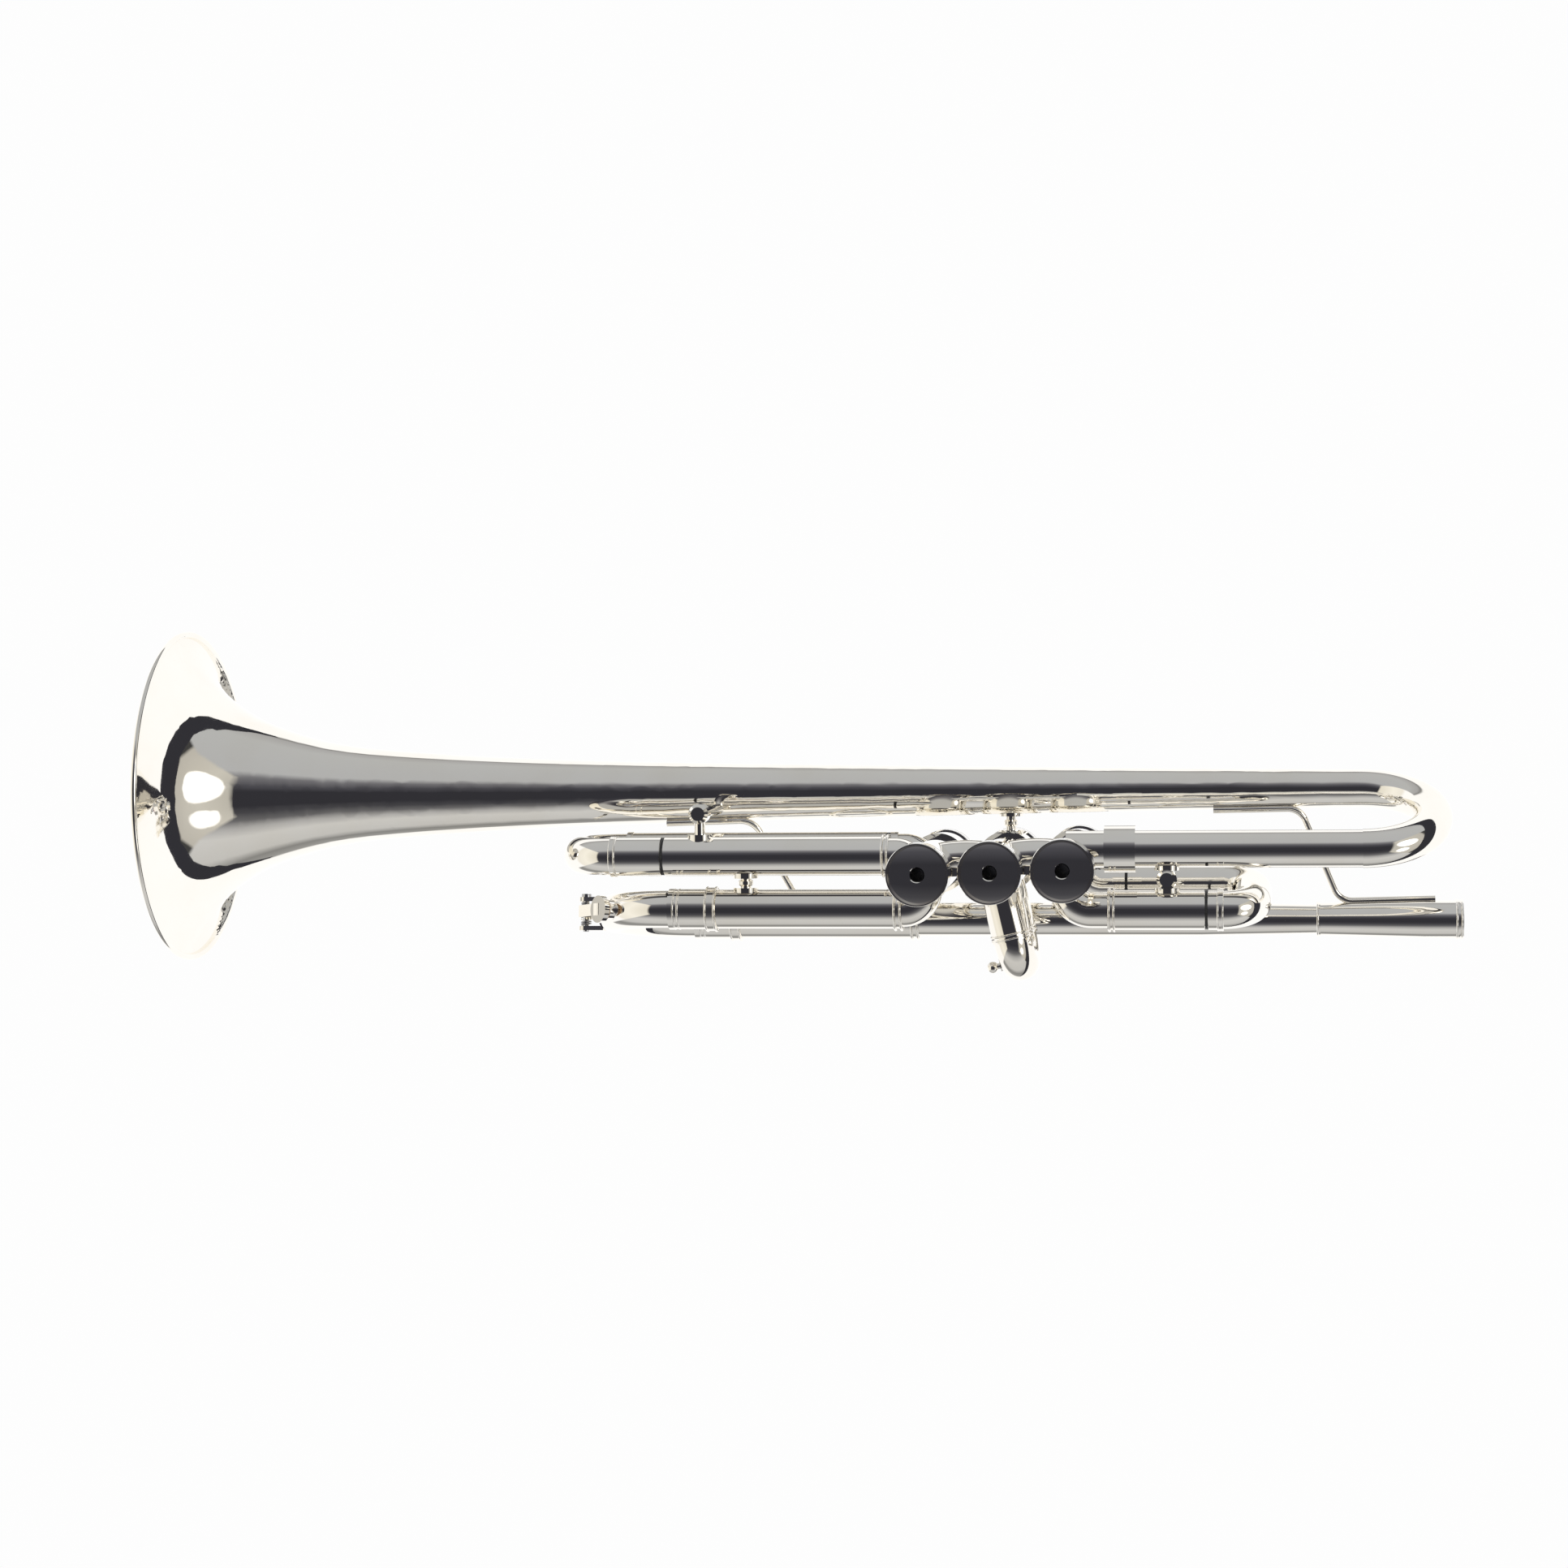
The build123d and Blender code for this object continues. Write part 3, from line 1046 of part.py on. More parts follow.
with BuildPart() as lead_body:
    add(receiver_body)
    add(cylinder_between((LEADPIPE_END, 0, 0), (RECEIVER_START, 0, 0), LEADPIPE_R))
    add(cylinder_between((TUNING_TUBE[0], 0, 0), (TUNING_TUBE[1], 0, 0), SLEEVE_R))
lead_solid = lead_body.part

rear_side = BRACE_SINK - RECEIVER_R[0] - BRACE_ROD_R
s_brace([beside_bell(REAR_BRACE_X[0], REAR_BRACE_DROP), beside_bell(REAR_BRACE_X[1], REAR_BRACE_DROP),
         (REAR_BRACE_X[2], rear_side, 0), (REAR_BRACE_X[3], rear_side - REAR_BRACE_LIFT, 0)],
        REAR_BRACE_CORNER, "rear_brace")
front_side = BRACE_SINK - SLEEVE_R - BRACE_ROD_R
s_brace([beside_bell(FRONT_BRACE_X[0], FRONT_BRACE_DROP), beside_bell(FRONT_BRACE_X[1], FRONT_BRACE_DROP),
         (FRONT_BRACE_X[2], front_side, FRONT_BRACE_Z), (FRONT_BRACE_X[3], front_side, FRONT_BRACE_Z)],
        FRONT_BRACE_CORNER, "front_brace")


def post(start, end):
    """A turned post between two tubes, with a flange at each end and a drum halfway."""
    length = (end - start).length
    return turned(Plane(start, x_dir=end - start, z_dir=UP), [
        (0, 0),
        (0, FLANGE_R),
        (FLANGE_THICK, FLANGE_R),
        (FLANGE_THICK, POST_R),
        (length / 2 - POST_DRUM, POST_R),
        (length / 2 - POST_DRUM / 2, POST_DRUM_R),
        (length / 2 + POST_DRUM / 2, POST_DRUM_R),
        (length / 2 + POST_DRUM, POST_R),
        (length - FLANGE_THICK, POST_R),
        (length - FLANGE_THICK, FLANGE_R),
        (length, FLANGE_R),
        (length, 0),
    ])


def boss(x, y, z):
    """The drum-shaped foot of a post, with a broad bevel round its lower end."""
    with BuildPart() as drum:
        add(tower(x, y, z, BOSS_HEIGHT, BOSS_R))
        chamfer(drum.edges().group_by(Axis.Z)[0], length=BOSS_EDGE)
    return drum.part


def soldered_post(x, y_start, y_end, z):
    """A post along Y that runs a little way into the tube at each end."""
    return post(Vector(x, y_start - SOLDER_OVERLAP, z), Vector(x, y_end + SOLDER_OVERLAP, z))


valve_x, valve_y = valve_axis(2)
valve_post_x = valve_x + VALVE_POST_SHIFT
boss_y = (TAIL_Y + TAIL_R + FIRST_LOW_Y - SLEEVE_R) / 2
front_x, front_y = FRONT_BOSS
third_side = THIRD_Y - SLEEVE_R
with BuildPart() as post_braces:
    add(soldered_post(valve_post_x, BELL_Y + bell_radius(valve_post_x), valve_y - BALUSTER_R, VALVE_POST_Z))
    add(soldered_post(TUNING_POST_X, THIRD_Y + SLEEVE_R, TUNING_LOW_Y - SLEEVE_R, LOW_Z))
    add(soldered_post(BOSS_X, TAIL_Y + TAIL_R, FIRST_LOW_Y - SLEEVE_R, LOW_Z))
    add(boss(BOSS_X, boss_y, LOW_Z - BOSS_HEIGHT + BOSS_TOP[0]))
    add(boss(front_x, front_y, LOW_Z - BOSS_HEIGHT + BOSS_TOP[1]))
    add(tower(front_x, front_y, LOW_Z, BELL_Z - LOW_Z, POST_R))
    add(cylinder_between((front_x, front_y, LOW_Z), (front_x, third_side + SOLDER_OVERLAP, LOW_Z), POST_R))
    add(cylinder_between((front_x, third_side - FLANGE_THICK / 2, LOW_Z), (front_x, THIRD_Y, LOW_Z),
                         FLANGE_R))
    add(bell_solid, mode=Mode.SUBTRACT)
    add(tower(valve_x, valve_y, CASING_BOTTOM, CASING_TOP - CASING_BOTTOM, BALUSTER_R), mode=Mode.SUBTRACT)
    add(tower(valve_x, valve_y, BALUSTER_BOTTOM, SHOULDER_HEIGHT, BALUSTER_R + SHOULDER_RISE),
        mode=Mode.SUBTRACT)
    add(cylinder_between((TUNING_TUBE[0], TUNING_LOW_Y, LOW_Z), (TUNING_TUBE[1], TUNING_LOW_Y, LOW_Z),
                         SLEEVE_R), mode=Mode.SUBTRACT)
    add(cylinder_between((THIRD_TUBE[0], THIRD_Y, LOW_Z), (THIRD_TUBE[1], THIRD_Y, LOW_Z), SLEEVE_R),
        mode=Mode.SUBTRACT)
    add(cylinder_between((FIRST_TUBE[0], FIRST_LOW_Y, LOW_Z), (FIRST_TUBE[1], FIRST_LOW_Y, LOW_Z), SLEEVE_R),
        mode=Mode.SUBTRACT)
    add(cylinder_between((TAIL_FERRULE[1], TAIL_Y, LOW_Z), (BOW_START_X, TAIL_Y, LOW_Z), TAIL_R),
        mode=Mode.SUBTRACT)
keep(post_braces.part, "post_braces")


def ferrule(start_x, y, z, length, inner, outer):
    """A band around a fixed tube."""
    return straight_pipe((start_x, y, z), (start_x + length, y, z), outer, inner)


half_length = FERRULE_LENGTH / 2
with BuildPart() as tube_ferrules:
    add(ferrule(TAIL_FERRULE[0], TAIL_Y, LOW_Z, TAIL_FERRULE[1] - TAIL_FERRULE[0], TAIL_R, TAIL_FERRULE_R))
    for y, z in ((0, 0), (TUNING_LOW_Y, LOW_Z)):
        add(ferrule(TUNING_TUBE[0] - half_length, y, z, half_length, SLEEVE_BORE_R, FERRULE_R + BAND_RISE))
        add(ferrule(TUNING_TUBE[0], y, z, half_length, SLEEVE_R, FERRULE_R + BAND_RISE))
        add(ferrule(TUNING_TUBE[1] - 3 * RING_BAND, y, z, RING_BAND, SLEEVE_R, FERRULE_R))
        add(ferrule(TUNING_TUBE[1] - RING_BAND, y, z, RING_BAND, SLEEVE_R, FERRULE_R))
    add(ferrule(THIRD_TUBE[1] - RING_BAND, THIRD_Y, LOW_Z, RING_BAND, SLEEVE_R, FERRULE_R))
    add(ferrule(FIRST_TUBE[0], FIRST_LOW_Y, LOW_Z, RING_BAND, SLEEVE_R, FERRULE_R))
keep(tube_ferrules.part, "tube_ferrules")

with BuildPart() as finger_hook:
    with BuildSketch(along_x(HOOK_X, 0, LEADPIPE_R)):
        with BuildLine():
            foot = Line((HOOK_FOOT, HOOK_SINK), (-HOOK_SINK, HOOK_SINK))
            rise = JernArc(foot @ 1, (-1, 0), HOOK_R, HOOK_SWEEP)
            Line(rise @ 1, rise @ 1 + rise % 1 * HOOK_TIP)
            offset(amount=HOOK_THICK / 2)
        make_face()
    extrude(amount=HOOK_WIDTH / 2, both=True)
    add(lead_solid, mode=Mode.SUBTRACT)
keep(finger_hook.part, "finger_hook")
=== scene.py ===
import json
import math
import bpy
from mathutils import Matrix, Vector


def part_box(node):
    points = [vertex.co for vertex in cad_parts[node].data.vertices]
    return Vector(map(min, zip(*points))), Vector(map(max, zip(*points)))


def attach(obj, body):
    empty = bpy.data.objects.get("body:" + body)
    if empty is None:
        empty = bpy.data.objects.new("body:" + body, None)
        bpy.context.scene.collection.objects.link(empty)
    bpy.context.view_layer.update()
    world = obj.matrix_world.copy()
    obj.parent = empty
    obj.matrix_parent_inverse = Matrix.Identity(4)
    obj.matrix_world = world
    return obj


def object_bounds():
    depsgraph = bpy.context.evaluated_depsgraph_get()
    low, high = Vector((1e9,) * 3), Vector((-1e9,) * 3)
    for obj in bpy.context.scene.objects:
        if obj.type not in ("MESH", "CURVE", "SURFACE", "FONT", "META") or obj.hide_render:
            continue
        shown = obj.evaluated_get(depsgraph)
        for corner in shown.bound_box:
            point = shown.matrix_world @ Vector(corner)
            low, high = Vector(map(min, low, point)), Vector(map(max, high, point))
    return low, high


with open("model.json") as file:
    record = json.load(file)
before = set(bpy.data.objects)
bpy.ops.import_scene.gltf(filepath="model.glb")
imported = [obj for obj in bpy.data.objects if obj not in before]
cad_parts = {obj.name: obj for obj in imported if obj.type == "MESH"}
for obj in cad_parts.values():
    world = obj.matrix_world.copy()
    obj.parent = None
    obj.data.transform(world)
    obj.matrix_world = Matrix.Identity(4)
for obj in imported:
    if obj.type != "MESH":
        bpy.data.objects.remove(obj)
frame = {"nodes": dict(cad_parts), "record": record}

cad_low, cad_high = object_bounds()
scene = bpy.context.scene
scene.view_settings.view_transform = "Standard"
scene.view_settings.look = "None"


# ----------------------------------------------------------------- shader helpers
class Shader:
    """A material whose nodes read the object's own coordinates, in metres."""

    def __init__(self, name):
        self.material = bpy.data.materials.new(name)
        self.material.use_nodes = True
        self.tree = self.material.node_tree
        self.principled = self.tree.nodes["Principled BSDF"]
        self.place = self.tree.nodes.new("ShaderNodeTexCoord").outputs["Object"]

    def link(self, source, target):
        self.tree.links.new(source, target)

    def set(self, **values):
        for key, value in values.items():
            self.principled.inputs[key.replace("_", " ")].default_value = value

    def stretched(self, x, y, z):
        """The coordinates scaled unevenly, for marks that run one way."""
        node = self.tree.nodes.new("ShaderNodeMapping")
        node.inputs["Scale"].default_value = (x, y, z)
        self.link(self.place, node.inputs["Vector"])
        return node.outputs["Vector"]

    def noise(self, scale, detail, roughness, place=None):
        node = self.tree.nodes.new("ShaderNodeTexNoise")
        node.inputs["Scale"].default_value = scale
        node.inputs["Detail"].default_value = detail
        node.inputs["Roughness"].default_value = roughness
        self.link(place or self.place, node.inputs["Vector"])
        return node.outputs["Fac"]

    def cells(self, scale):
        node = self.tree.nodes.new("ShaderNodeTexVoronoi")
        node.inputs["Scale"].default_value = scale
        self.link(self.place, node.inputs["Vector"])
        return node.outputs["Distance"]

    def remap(self, value, low, high, to_low, to_high):
        node = self.tree.nodes.new("ShaderNodeMapRange")
        node.inputs["From Min"].default_value = low
        node.inputs["From Max"].default_value = high
        node.inputs["To Min"].default_value = to_low
        node.inputs["To Max"].default_value = to_high
        self.link(value, node.inputs["Value"])
        return node.outputs["Result"]

    def blend_colours(self, factor, *stops):
        """A colour that goes through stops of (position, colour) as the factor rises."""
        node = self.tree.nodes.new("ShaderNodeValToRGB")
        ramp = node.color_ramp
        for index, (position, colour) in enumerate(stops):
            element = ramp.elements[index] if index < 2 else ramp.elements.new(position)
            element.position = position
            element.color = (*colour, 1.0)
        self.link(factor, node.inputs["Fac"])
        return node.outputs["Color"]

    def bump(self, height, strength, distance):
        node = self.tree.nodes.new("ShaderNodeBump")
        node.inputs["Strength"].default_value = strength
        node.inputs["Distance"].default_value = distance
        self.link(height, node.inputs["Height"])
        self.link(node.outputs["Normal"], self.principled.inputs["Normal"])

    def colour(self, source):
        self.link(source, self.principled.inputs["Base Color"])

    def rough(self, source):
        self.link(source, self.principled.inputs["Roughness"])


SILVER_SMOOTHEST = 0.018
SILVER_ROUGHEST = 0.07
WIPING_GRAIN = (60.0, 2600.0, 2600.0)    # the cloth ran along the tubes


def silver_plate(name):
    """Mirror-polished silver plate with faint tarnish clouds, finger haze and wiping marks."""
    shader = Shader(name)
    shader.set(Metallic=1.0)
    clouds = shader.noise(26.0, detail=4.0, roughness=0.55)
    shader.colour(shader.blend_colours(clouds,
                                       (0.28, (0.95, 0.91, 0.83)),
                                       (0.50, (0.975, 0.945, 0.88)),
                                       (0.75, (0.985, 0.96, 0.91))))
    haze = shader.noise(95.0, detail=5.0, roughness=0.6)
    shader.rough(shader.remap(haze, 0.35, 0.75, SILVER_SMOOTHEST, SILVER_ROUGHEST))
    wiping = shader.noise(1.0, detail=2.0, roughness=0.5, place=shader.stretched(*WIPING_GRAIN))
    shader.bump(wiping, strength=0.02, distance=0.00004)
    return shader.material


def worn_metal(name, dark, light, smooth, rough, grain):
    """Plain machined metal whose fine lines run one way."""
    shader = Shader(name)
    shader.set(Metallic=1.0)
    lines = shader.noise(1.0, detail=3.0, roughness=0.6, place=shader.stretched(*grain))
    shader.colour(shader.blend_colours(lines, (0.25, dark), (0.75, light)))
    shader.rough(shader.remap(lines, 0.2, 0.8, smooth, rough))
    shader.bump(lines, strength=0.15, distance=0.00005)
    return shader.material


def pearl(name):
    """Mother-of-pearl: soft bands of cream, pink and green under a clear gloss."""
    shader = Shader(name)
    shader.set(Roughness=0.16, Coat_Weight=0.6, Coat_Roughness=0.04, Subsurface_Weight=0.1)
    bands = shader.noise(210.0, detail=4.0, roughness=0.6, place=shader.stretched(1.0, 2.2, 1.0))
    shader.colour(shader.blend_colours(bands,
                                       (0.30, (0.80, 0.74, 0.70)),
                                       (0.48, (0.93, 0.91, 0.86)),
                                       (0.60, (0.78, 0.87, 0.82)),
                                       (0.74, (0.95, 0.94, 0.92))))
    shader.bump(bands, strength=0.08, distance=0.0001)
    return shader.material


def matt(name, stops, scale, smooth, rough, strength, distance, cell_scale=None):
    """A dull material with mottled colour: felt, rubber, cork or moulded plastic.

    scale is the mottle's, and cell_scale gives the bump cells in place of the mottle.
    """
    shader = Shader(name)
    mottle = shader.noise(scale, detail=5.0, roughness=0.65)
    shader.colour(shader.blend_colours(mottle, *stops))
    shader.rough(shader.remap(mottle, 0.3, 0.7, smooth, rough))
    shader.bump(shader.cells(cell_scale) if cell_scale else mottle, strength, distance)
    return shader.material


MATERIALS = {
    "silver_plate": silver_plate("silver_plate"),
    "piston_alloy": worn_metal("piston_alloy", dark=(0.50, 0.50, 0.49), light=(0.68, 0.68, 0.66),
                               smooth=0.16, rough=0.32, grain=(300.0, 300.0, 2400.0)),
    "stem_steel": worn_metal("stem_steel", dark=(0.55, 0.55, 0.56), light=(0.74, 0.74, 0.75),
                             smooth=0.12, rough=0.26, grain=(400.0, 400.0, 3000.0)),
    "spring_steel": worn_metal("spring_steel", dark=(0.36, 0.36, 0.37), light=(0.58, 0.58, 0.60),
                               smooth=0.20, rough=0.38, grain=(900.0, 900.0, 900.0)),
    "pearl": pearl("pearl"),
    "guide_plastic": matt("guide_plastic",
                          ((0.3, (0.78, 0.76, 0.68)), (0.7, (0.90, 0.89, 0.83))),
                          scale=320.0, smooth=0.35, rough=0.5, strength=0.1, distance=0.0001),
    "felt": matt("felt",
                 ((0.3, (0.28, 0.03, 0.04)), (0.7, (0.52, 0.09, 0.10))),
                 scale=1400.0, smooth=0.85, rough=1.0, strength=0.8, distance=0.0003),
    "bumper_rubber": matt("bumper_rubber",
                          ((0.3, (0.012, 0.012, 0.013)), (0.7, (0.035, 0.034, 0.033))),
                          scale=700.0, smooth=0.45, rough=0.7, strength=0.3, distance=0.0001),
    "cork": matt("cork",
                 ((0.35, (0.24, 0.13, 0.06)), (0.5, (0.50, 0.33, 0.18)), (0.7, (0.66, 0.48, 0.30))),
                 scale=900.0, smooth=0.7, rough=0.9, strength=0.6, distance=0.0003,
                 cell_scale=1500.0),
}

slot_of = {entry["node"]: entry["material_slot"] for entry in frame["record"]["subparts"]}
for node, piece in frame["nodes"].items():
    finish = MATERIALS[slot_of[node]]
    for material_slot in piece.material_slots:
        material_slot.material = finish


# ----------------------------------------------------------------- beads
# Lengths and places are in metres.
BEAD_WIRE = 0.0004        # radius of the half-round line
BEAD_ROUND_STEPS = 96
BEAD_WIRE_STEPS = 12
SLEEVE_R = 0.0071         # the slides' sleeves
BAND_R = 0.0076           # the bands at the tuning tubes' player end
FERRULE_R = 0.0079        # the ferrules of the tuning slide
RECEIVER_START_R = 0.0061
RECEIVER_MOUTH_R = 0.0070
TUBE_STEP = 0.0074        # from a slide bow's outer side to its tube's axis
LEG_RISE = 0.030          # from the low tubes to the high ones
ALONG_X = (1.0, 0.0, 0.0)
SECOND_WAY = Vector((0.2250, 0.9744, 0.0))    # the way the second slide pulls out

# Where beads stand along X, from the place that each call below names.
TUNING_SLEEVE_STEPS = (-0.0136, -0.0119)
TUNING_FERRULE_STEPS = (-0.0016, 0.0016)
TUNING_BAND_STEPS = (-0.0028, -0.0006)
THIRD_SLEEVE_STEPS = (0.0206, 0.0223)
FIRST_SLEEVE_STEPS = (-0.0171, -0.0187)
RECEIVER_MOUTH_STEPS = (-0.0006, -0.0024)
THIRD_TUBE_STEPS = (-0.20485, -0.2066)
FIRST_TUBE_STEPS = (-0.12585, -0.1242)
SECOND_JOINT_INSET = 0.0016        # from the second slide's tube ends to their joint
SECOND_TUBE_STEP = 0.0005          # the two beads lie this far each side of the joint
SECOND_SLIDE_STEP = 0.0010


def bead(name, centre, axis, radius, body):
    """A fine half-round bead rolled round a tube."""
    along = Vector(axis).normalized()
    side = along.orthogonal().normalized()
    other = along.cross(side)
    points = []
    for step in range(BEAD_ROUND_STEPS):
        turned = 2 * math.pi * step / BEAD_ROUND_STEPS
        outward = side * math.cos(turned) + other * math.sin(turned)
        for wire_step in range(BEAD_WIRE_STEPS):
            lean = 2 * math.pi * wire_step / BEAD_WIRE_STEPS
            reach = radius + BEAD_WIRE * math.cos(lean)
            points.append(Vector(centre) + outward * reach + along * (BEAD_WIRE * math.sin(lean)))
    faces = []
    for step in range(BEAD_ROUND_STEPS):
        here = step * BEAD_WIRE_STEPS
        ahead = (step + 1) % BEAD_ROUND_STEPS * BEAD_WIRE_STEPS
        for wire_step in range(BEAD_WIRE_STEPS):
            after = (wire_step + 1) % BEAD_WIRE_STEPS
            faces.append((here + wire_step, ahead + wire_step, ahead + after, here + after))
    mesh = bpy.data.meshes.new(name)
    mesh.from_pydata(points, [], faces)
    mesh.shade_smooth()
    mesh.materials.append(MATERIALS["silver_plate"])
    ring = bpy.data.objects.new(name, mesh)
    scene.collection.objects.link(ring)
    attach(ring, body)


def beads_at(name, start, steps, y, z, radius, body):
    """Beads at several steps from start along a tube that runs along X."""
    for index, step in enumerate(steps):
        bead(f"{name}_{index + 1}", (start + step, y, z), ALONG_X, radius, body)


def middle_of(node, axis):
    """The middle of a node's box along one axis."""
    low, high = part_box(node)
    return (low[axis] + high[axis]) / 2


# The tuning slide's two legs carry beads on the sleeves, the ferrules and the bands.
tuning_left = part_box("tuning_lower_tube")[0].x
tuning_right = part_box("tuning_upper_tube")[1].x
low_y, low_z = middle_of("tuning_lower_tube", 1), middle_of("tuning_lower_tube", 2)
high_z = low_z + LEG_RISE
for leg, leg_y, leg_z in (("upper", 0.0, 0.0), ("lower", low_y, low_z)):
    beads_at(f"tuning_sleeve_bead_{leg}", tuning_left, TUNING_SLEEVE_STEPS, leg_y, leg_z,
             SLEEVE_R, "tuning_slide")
    beads_at(f"tuning_ferrule_bead_{leg}", tuning_left, TUNING_FERRULE_STEPS, leg_y, leg_z,
             FERRULE_R, "horn")
    beads_at(f"tuning_band_bead_{leg}", tuning_right, TUNING_BAND_STEPS, leg_y, leg_z,
             BAND_R, "horn")

third_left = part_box("third_slide_bow")[0].x
third_y = middle_of("third_slide_tubes", 1)
for leg, leg_z in (("lower", low_z), ("upper", high_z)):
    beads_at(f"third_sleeve_bead_{leg}", third_left, THIRD_SLEEVE_STEPS, third_y, leg_z,
             SLEEVE_R, "third_slide")

receiver_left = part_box("mouthpiece_receiver")[0].x
beads_at("receiver_start_bead", receiver_left, (BEAD_WIRE,), 0.0, 0.0, RECEIVER_START_R, "horn")
beads_at("receiver_mouth_bead", 0.0, RECEIVER_MOUTH_STEPS, 0.0, 0.0, RECEIVER_MOUTH_R, "horn")

# The fixed tubes that the third and the first slide's sleeves run up to.
first_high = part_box("first_slide_bow")[1]
first_y = first_high.y - TUBE_STEP
beads_at("third_tube_bead", 0.0, THIRD_TUBE_STEPS, third_y, low_z, SLEEVE_R + BEAD_WIRE, "horn")
beads_at("first_tube_bead", 0.0, FIRST_TUBE_STEPS, first_y, low_z, SLEEVE_R + BEAD_WIRE, "horn")
beads_at("first_sleeve_bead", first_high.x, FIRST_SLEEVE_STEPS, first_y, low_z,
         SLEEVE_R, "first_slide")

# The second slide's joint is a pair of beads, one on the fixed tube and one on the slide.
second_low, second_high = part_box("second_slide_tubes")
joint_x = second_high.x - SLEEVE_R * SECOND_WAY.y
joint_y = second_high.y - SECOND_JOINT_INSET
for leg, leg_z in (("lower", second_low.z + SLEEVE_R), ("upper", second_high.z - SLEEVE_R)):
    joint = Vector((joint_x, joint_y, leg_z))
    bead(f"second_tube_bead_{leg}", joint - SECOND_WAY * SECOND_TUBE_STEP, SECOND_WAY,
         SLEEVE_R, "horn")
    bead(f"second_slide_bead_{leg}", joint + SECOND_WAY * SECOND_SLIDE_STEP, SECOND_WAY,
         SLEEVE_R, "second_slide")


# ----------------------------------------------------------------- studio
def panel(name, centre, size, facing, colour):
    """A flat matt stage panel that faces a direction."""
    mesh = bpy.data.meshes.new(name)
    half_w, half_h = size[0] / 2, size[1] / 2
    corners = [(-half_w, -half_h, 0), (half_w, -half_h, 0),
               (half_w, half_h, 0), (-half_w, half_h, 0)]
    mesh.from_pydata(corners, [], [(0, 1, 2, 3)])
    board = bpy.data.objects.new(name, mesh)
    scene.collection.objects.link(board)
    board.location = centre
    board.rotation_mode = "QUATERNION"
    board.rotation_quaternion = Vector(facing).to_track_quat("Z", "Y")
    paint = bpy.data.materials.new(name)
    paint.use_nodes = True
    surface = paint.node_tree.nodes["Principled BSDF"]
    surface.inputs["Base Color"].default_value = (*colour, 1.0)
    surface.inputs["Roughness"].default_value = 0.9
    mesh.materials.append(paint)
    return board


def soft_light(name, location, target, size, power):
    """A large square softbox aimed at a point."""
    data = bpy.data.lights.new(name, "AREA")
    data.shape = "SQUARE"
    data.size = size
    data.energy = power
    lamp = bpy.data.objects.new(name, data)
    scene.collection.objects.link(lamp)
    lamp.location = location
    lamp.rotation_mode = "QUATERNION"
    lamp.rotation_quaternion = (Vector(target) - Vector(location)).to_track_quat("-Z", "Y")
    return lamp


# ----------------------------------------------------------------- reflected room
# A white sheet stands behind the trumpet, grey cloth hangs at its two sides, and the room
# beyond the camera is dim. Only reflections and light see this: the camera sees BACKCLOTH.
DIM = (0.032, 0.032, 0.040)
SHEET = (1.04, 1.04, 1.05)
BACKCLOTH = (0.985, 0.985, 0.985)
ROOM_LENGTH = 0.84      # metres from the trumpet to the lit ends
ROOM_WIDTH = 0.75       # to the cloth
ROOM_DEPTH = 1.2        # to the camera
CORNER_EDGE = 14.0      # how sharply the lit ends meet the cloth
CORNER_ROUND = 0.2
SHEET_START = 0.56      # how far up a direction points where the sheet begins
SHEET_LEAN = 0.43       # the sheet reaches further down at the player's end
SHEET_SIDE = 0.02       # its edge shows only in directions past this, towards the player
GAP_LEAST = 0.03        # the dark line at the sheet's edge
GAP_GROWTH = 0.34       # widens by this towards the player's end
SPOT_EDGE = 14.0        # how sharply a lamp's edge falls off

world = bpy.data.worlds.new("studio")
world.use_nodes = True
room = world.node_tree


def ramp(factor, *stops):
    """A colour that goes smoothly through (position, colour) stops."""
    node = room.nodes.new("ShaderNodeValToRGB")
    elements = node.color_ramp.elements
    for index, (position, level) in enumerate(stops):
        element = elements[index] if index < 2 else elements.new(position)
        element.position = position
        element.color = (*level, 1.0)
    room.links.new(factor, node.inputs["Fac"])
    return node.outputs["Color"]


def calculate(operation, *values):
    """A math node over sockets and plain numbers."""
    node = room.nodes.new("ShaderNodeMath")
    node.operation = operation
    for index, value in enumerate(values):
        if isinstance(value, (int, float)):
            node.inputs[index].default_value = value
        else:
            room.links.new(value, node.inputs[index])
    return node.outputs["Value"]


def absolute(value):
    return calculate("ABSOLUTE", value)


def product(first, second):
    return calculate("MULTIPLY", first, second)


def total(first, second):
    return calculate("ADD", first, second)


def difference(first, second):
    return calculate("SUBTRACT", first, second)


def at_least(value, least):
    return calculate("MAXIMUM", value, least)


def above(value, limit):
    return calculate("GREATER_THAN", value, limit)


def mixed(factor, first, second):
    """A colour between two sockets or plain colours."""
    node = room.nodes.new("ShaderNodeMix")
    node.data_type = "RGBA"
    room.links.new(factor, node.inputs["Factor"])
    for socket, value in ((node.inputs["A"], first), (node.inputs["B"], second)):
        if isinstance(value, tuple):
            socket.default_value = (*value, 1.0)
        else:
            room.links.new(value, socket)
    return node.outputs["Result"]


direction = room.nodes.new("ShaderNodeTexCoord").outputs["Generated"]
way = room.nodes.new("ShaderNodeSeparateXYZ")
room.links.new(direction, way.inputs["Vector"])
way_x, way_y, way_z = way.outputs["X"], way.outputs["Y"], way.outputs["Z"]

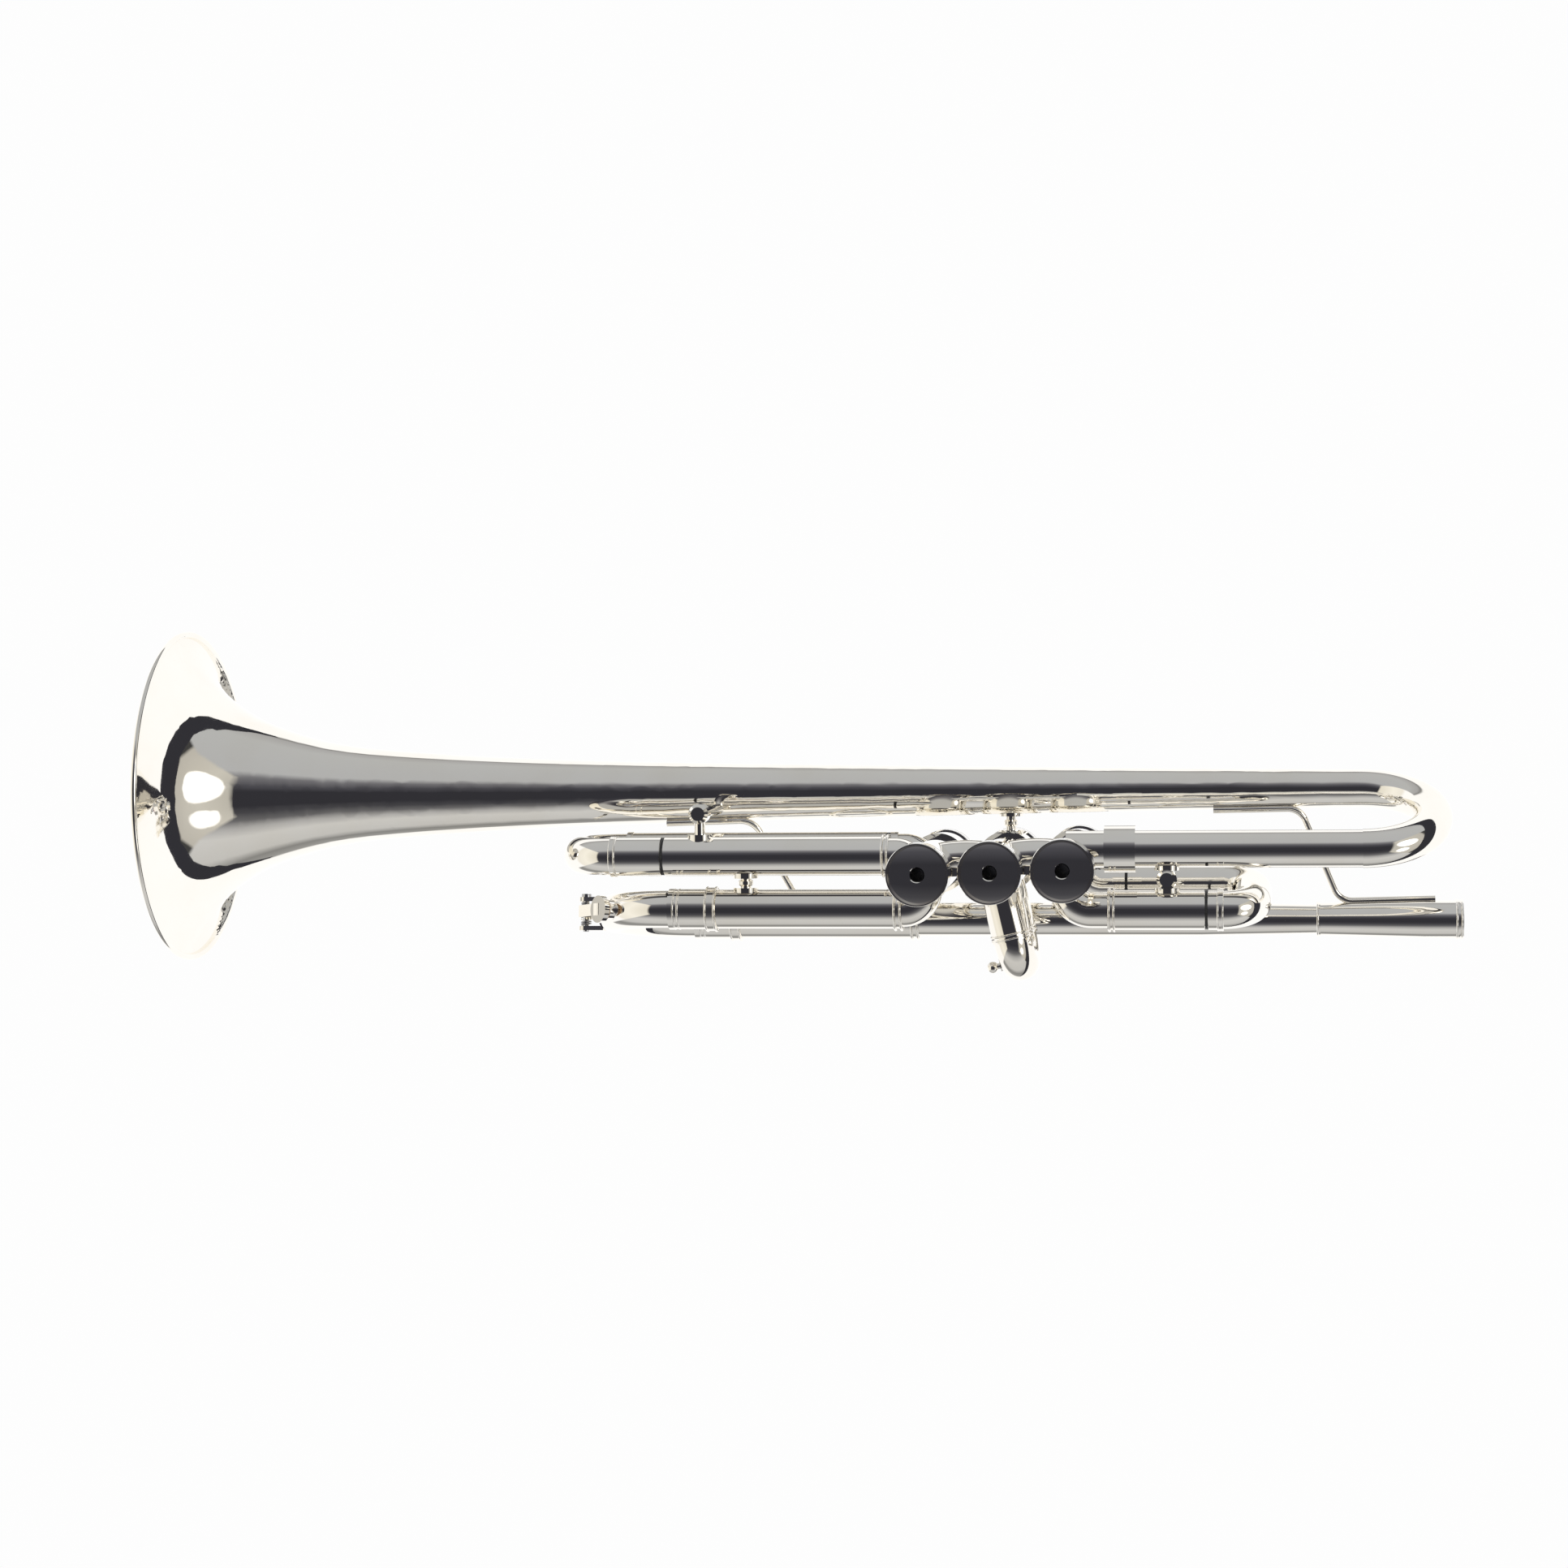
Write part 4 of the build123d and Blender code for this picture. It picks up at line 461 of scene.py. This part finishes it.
# Round the trumpet's length: 0 and 1 point up at the sheet, and 0.5 down at the camera.
around = calculate("ARCTAN2", way_y, product(way_z, -1.0))
turn_right = total(product(around, 0.5 / math.pi), 0.5)
bands = ramp(turn_right,
             (0.0, SHEET),
             (0.155, SHEET),
             (0.162, (0.20, 0.20, 0.20)),
             (0.175, (0.40, 0.40, 0.41)),
             (0.22, (0.47, 0.48, 0.49)),
             (0.385, (0.45, 0.46, 0.48)),
             (0.415, (0.17, 0.17, 0.19)),
             (0.445, (0.07, 0.07, 0.085)),
             (0.48, DIM),
             (0.54, DIM),
             (0.575, (0.06, 0.06, 0.07)),
             (0.605, (0.14, 0.14, 0.15)),
             (0.64, (0.42, 0.42, 0.43)),
             (0.68, (0.60, 0.60, 0.60)),
             (0.76, (0.55, 0.55, 0.55)),
             (0.80, (0.25, 0.25, 0.25)),
             (0.84, (0.34, 0.34, 0.34)),
             (0.85, SHEET))

# The two ends of the room, lit warmer, from the bottom to the top.
height = total(product(way_z, 0.5), 0.5)
player_end = ramp(height,
                  (0.0, (0.42, 0.41, 0.38)),
                  (0.20, (0.60, 0.58, 0.53)),
                  (0.40, (0.50, 0.48, 0.44)),
                  (0.425, (0.05, 0.05, 0.05)),
                  (0.56, (0.07, 0.07, 0.07)),
                  (0.60, SHEET))
bell_end = ramp(height,
                (0.0, (0.70, 0.66, 0.56)),
                (0.30, (0.95, 0.92, 0.84)),
                (0.46, (0.88, 0.85, 0.78)),
                (0.52, SHEET))
lit_ends = mixed(above(way_x, 0.0), bell_end, player_end)

# A direction meets an end of the room where it leaves through that end before a side.
cloth_reach = product(absolute(way_y), ROOM_LENGTH / ROOM_WIDTH)
front_reach = product(absolute(way_z), ROOM_LENGTH / ROOM_DEPTH)
past_corner = difference(absolute(way_x), at_least(cloth_reach, front_reach))
at_end = calculate("SMOOTH_MIN", at_least(product(past_corner, CORNER_EDGE), 0.0), 1.0,
                   CORNER_ROUND)
reflected = mixed(at_end, bands, lit_ends)

# The sheet's near edge shows as a dark line that widens towards the player's end.
player_side = at_least(way_x, 0.0)
on_player_side = above(way_x, SHEET_SIDE)
sheet_edge = difference(SHEET_START, product(player_side, SHEET_LEAN))
past_edge = difference(way_z, sheet_edge)
gap_width = total(GAP_LEAST, product(player_side, GAP_GROWTH))
in_gap = above(total(past_edge, gap_width), 0.0)
on_sheet = above(past_edge, 0.0)
reflected = mixed(product(in_gap, on_player_side), reflected, DIM)
reflected = mixed(product(on_sheet, on_player_side), reflected, SHEET)


def bright_spot(surroundings, towards, radius, level):
    """A soft lamp seen in one direction, laid over the surroundings."""
    gap = room.nodes.new("ShaderNodeVectorMath")
    gap.operation = "DISTANCE"
    room.links.new(direction, gap.inputs[0])
    gap.inputs[1].default_value = Vector(towards).normalized()
    inside = product(difference(radius, gap.outputs["Value"]), SPOT_EDGE)
    near = calculate("MINIMUM", at_least(inside, 0.0), 1.0)
    return mixed(near, surroundings, (level, level, level))


reflected = bright_spot(reflected, (0.80, -0.16, -0.56), 0.26, 2.6)
reflected = bright_spot(reflected, (0.76, 0.36, -0.54), 0.17, 2.0)
seen = room.nodes.new("ShaderNodeLightPath").outputs["Is Camera Ray"]
background = room.nodes["Background"]
room.links.new(mixed(seen, reflected, BACKCLOTH), background.inputs["Color"])
background.inputs["Strength"].default_value = 1.0
scene.world = world


# ----------------------------------------------------------------- floor and key light
FLOOR_SIZE = 12.0
FLOOR_PALE = (0.86, 0.86, 0.86)
FLOOR_DROP = Vector((0.0, 0.0, -1.6))         # from the middle of the trumpet
KEY_PLACE = Vector((-0.45, -0.35, -1.2))      # from the middle of the trumpet
KEY_SIZE = 0.16
KEY_POWER = 1.2

middle = (cad_low + cad_high) / 2
floor = panel("floor", middle + FLOOR_DROP, (FLOOR_SIZE, FLOOR_SIZE), (0, 0, 1), FLOOR_PALE)
floor.visible_glossy = False
key = soft_light("key_softbox", middle + KEY_PLACE, middle, KEY_SIZE, KEY_POWER)
key.visible_glossy = False


# ----------------------------------------------------------------- camera
# The photograph looks up at the bottom caps from below, at about 1.2 m.
CAMERA_PLACE = Vector((-0.0626, -0.0932, -1.1733))
CAMERA_FORWARD = Vector((-0.15829, 0.03531, 0.98676)).normalized()
CAMERA_RIGHT = Vector((0.98740, 0.01275, 0.15793)).normalized()
camera_up = CAMERA_RIGHT.cross(CAMERA_FORWARD)
lens = bpy.data.cameras.new("camera")
lens.sensor_width = 36.0    # millimetres, as is the focal length
lens.lens = 72.3
lens.clip_start = 0.01
lens.clip_end = 20.0
camera = bpy.data.objects.new("camera", lens)
scene.collection.objects.link(camera)
turn = Matrix((CAMERA_RIGHT, camera_up, -CAMERA_FORWARD)).transposed()
camera.matrix_world = Matrix.Translation(CAMERA_PLACE) @ turn.to_4x4()
scene.camera = camera
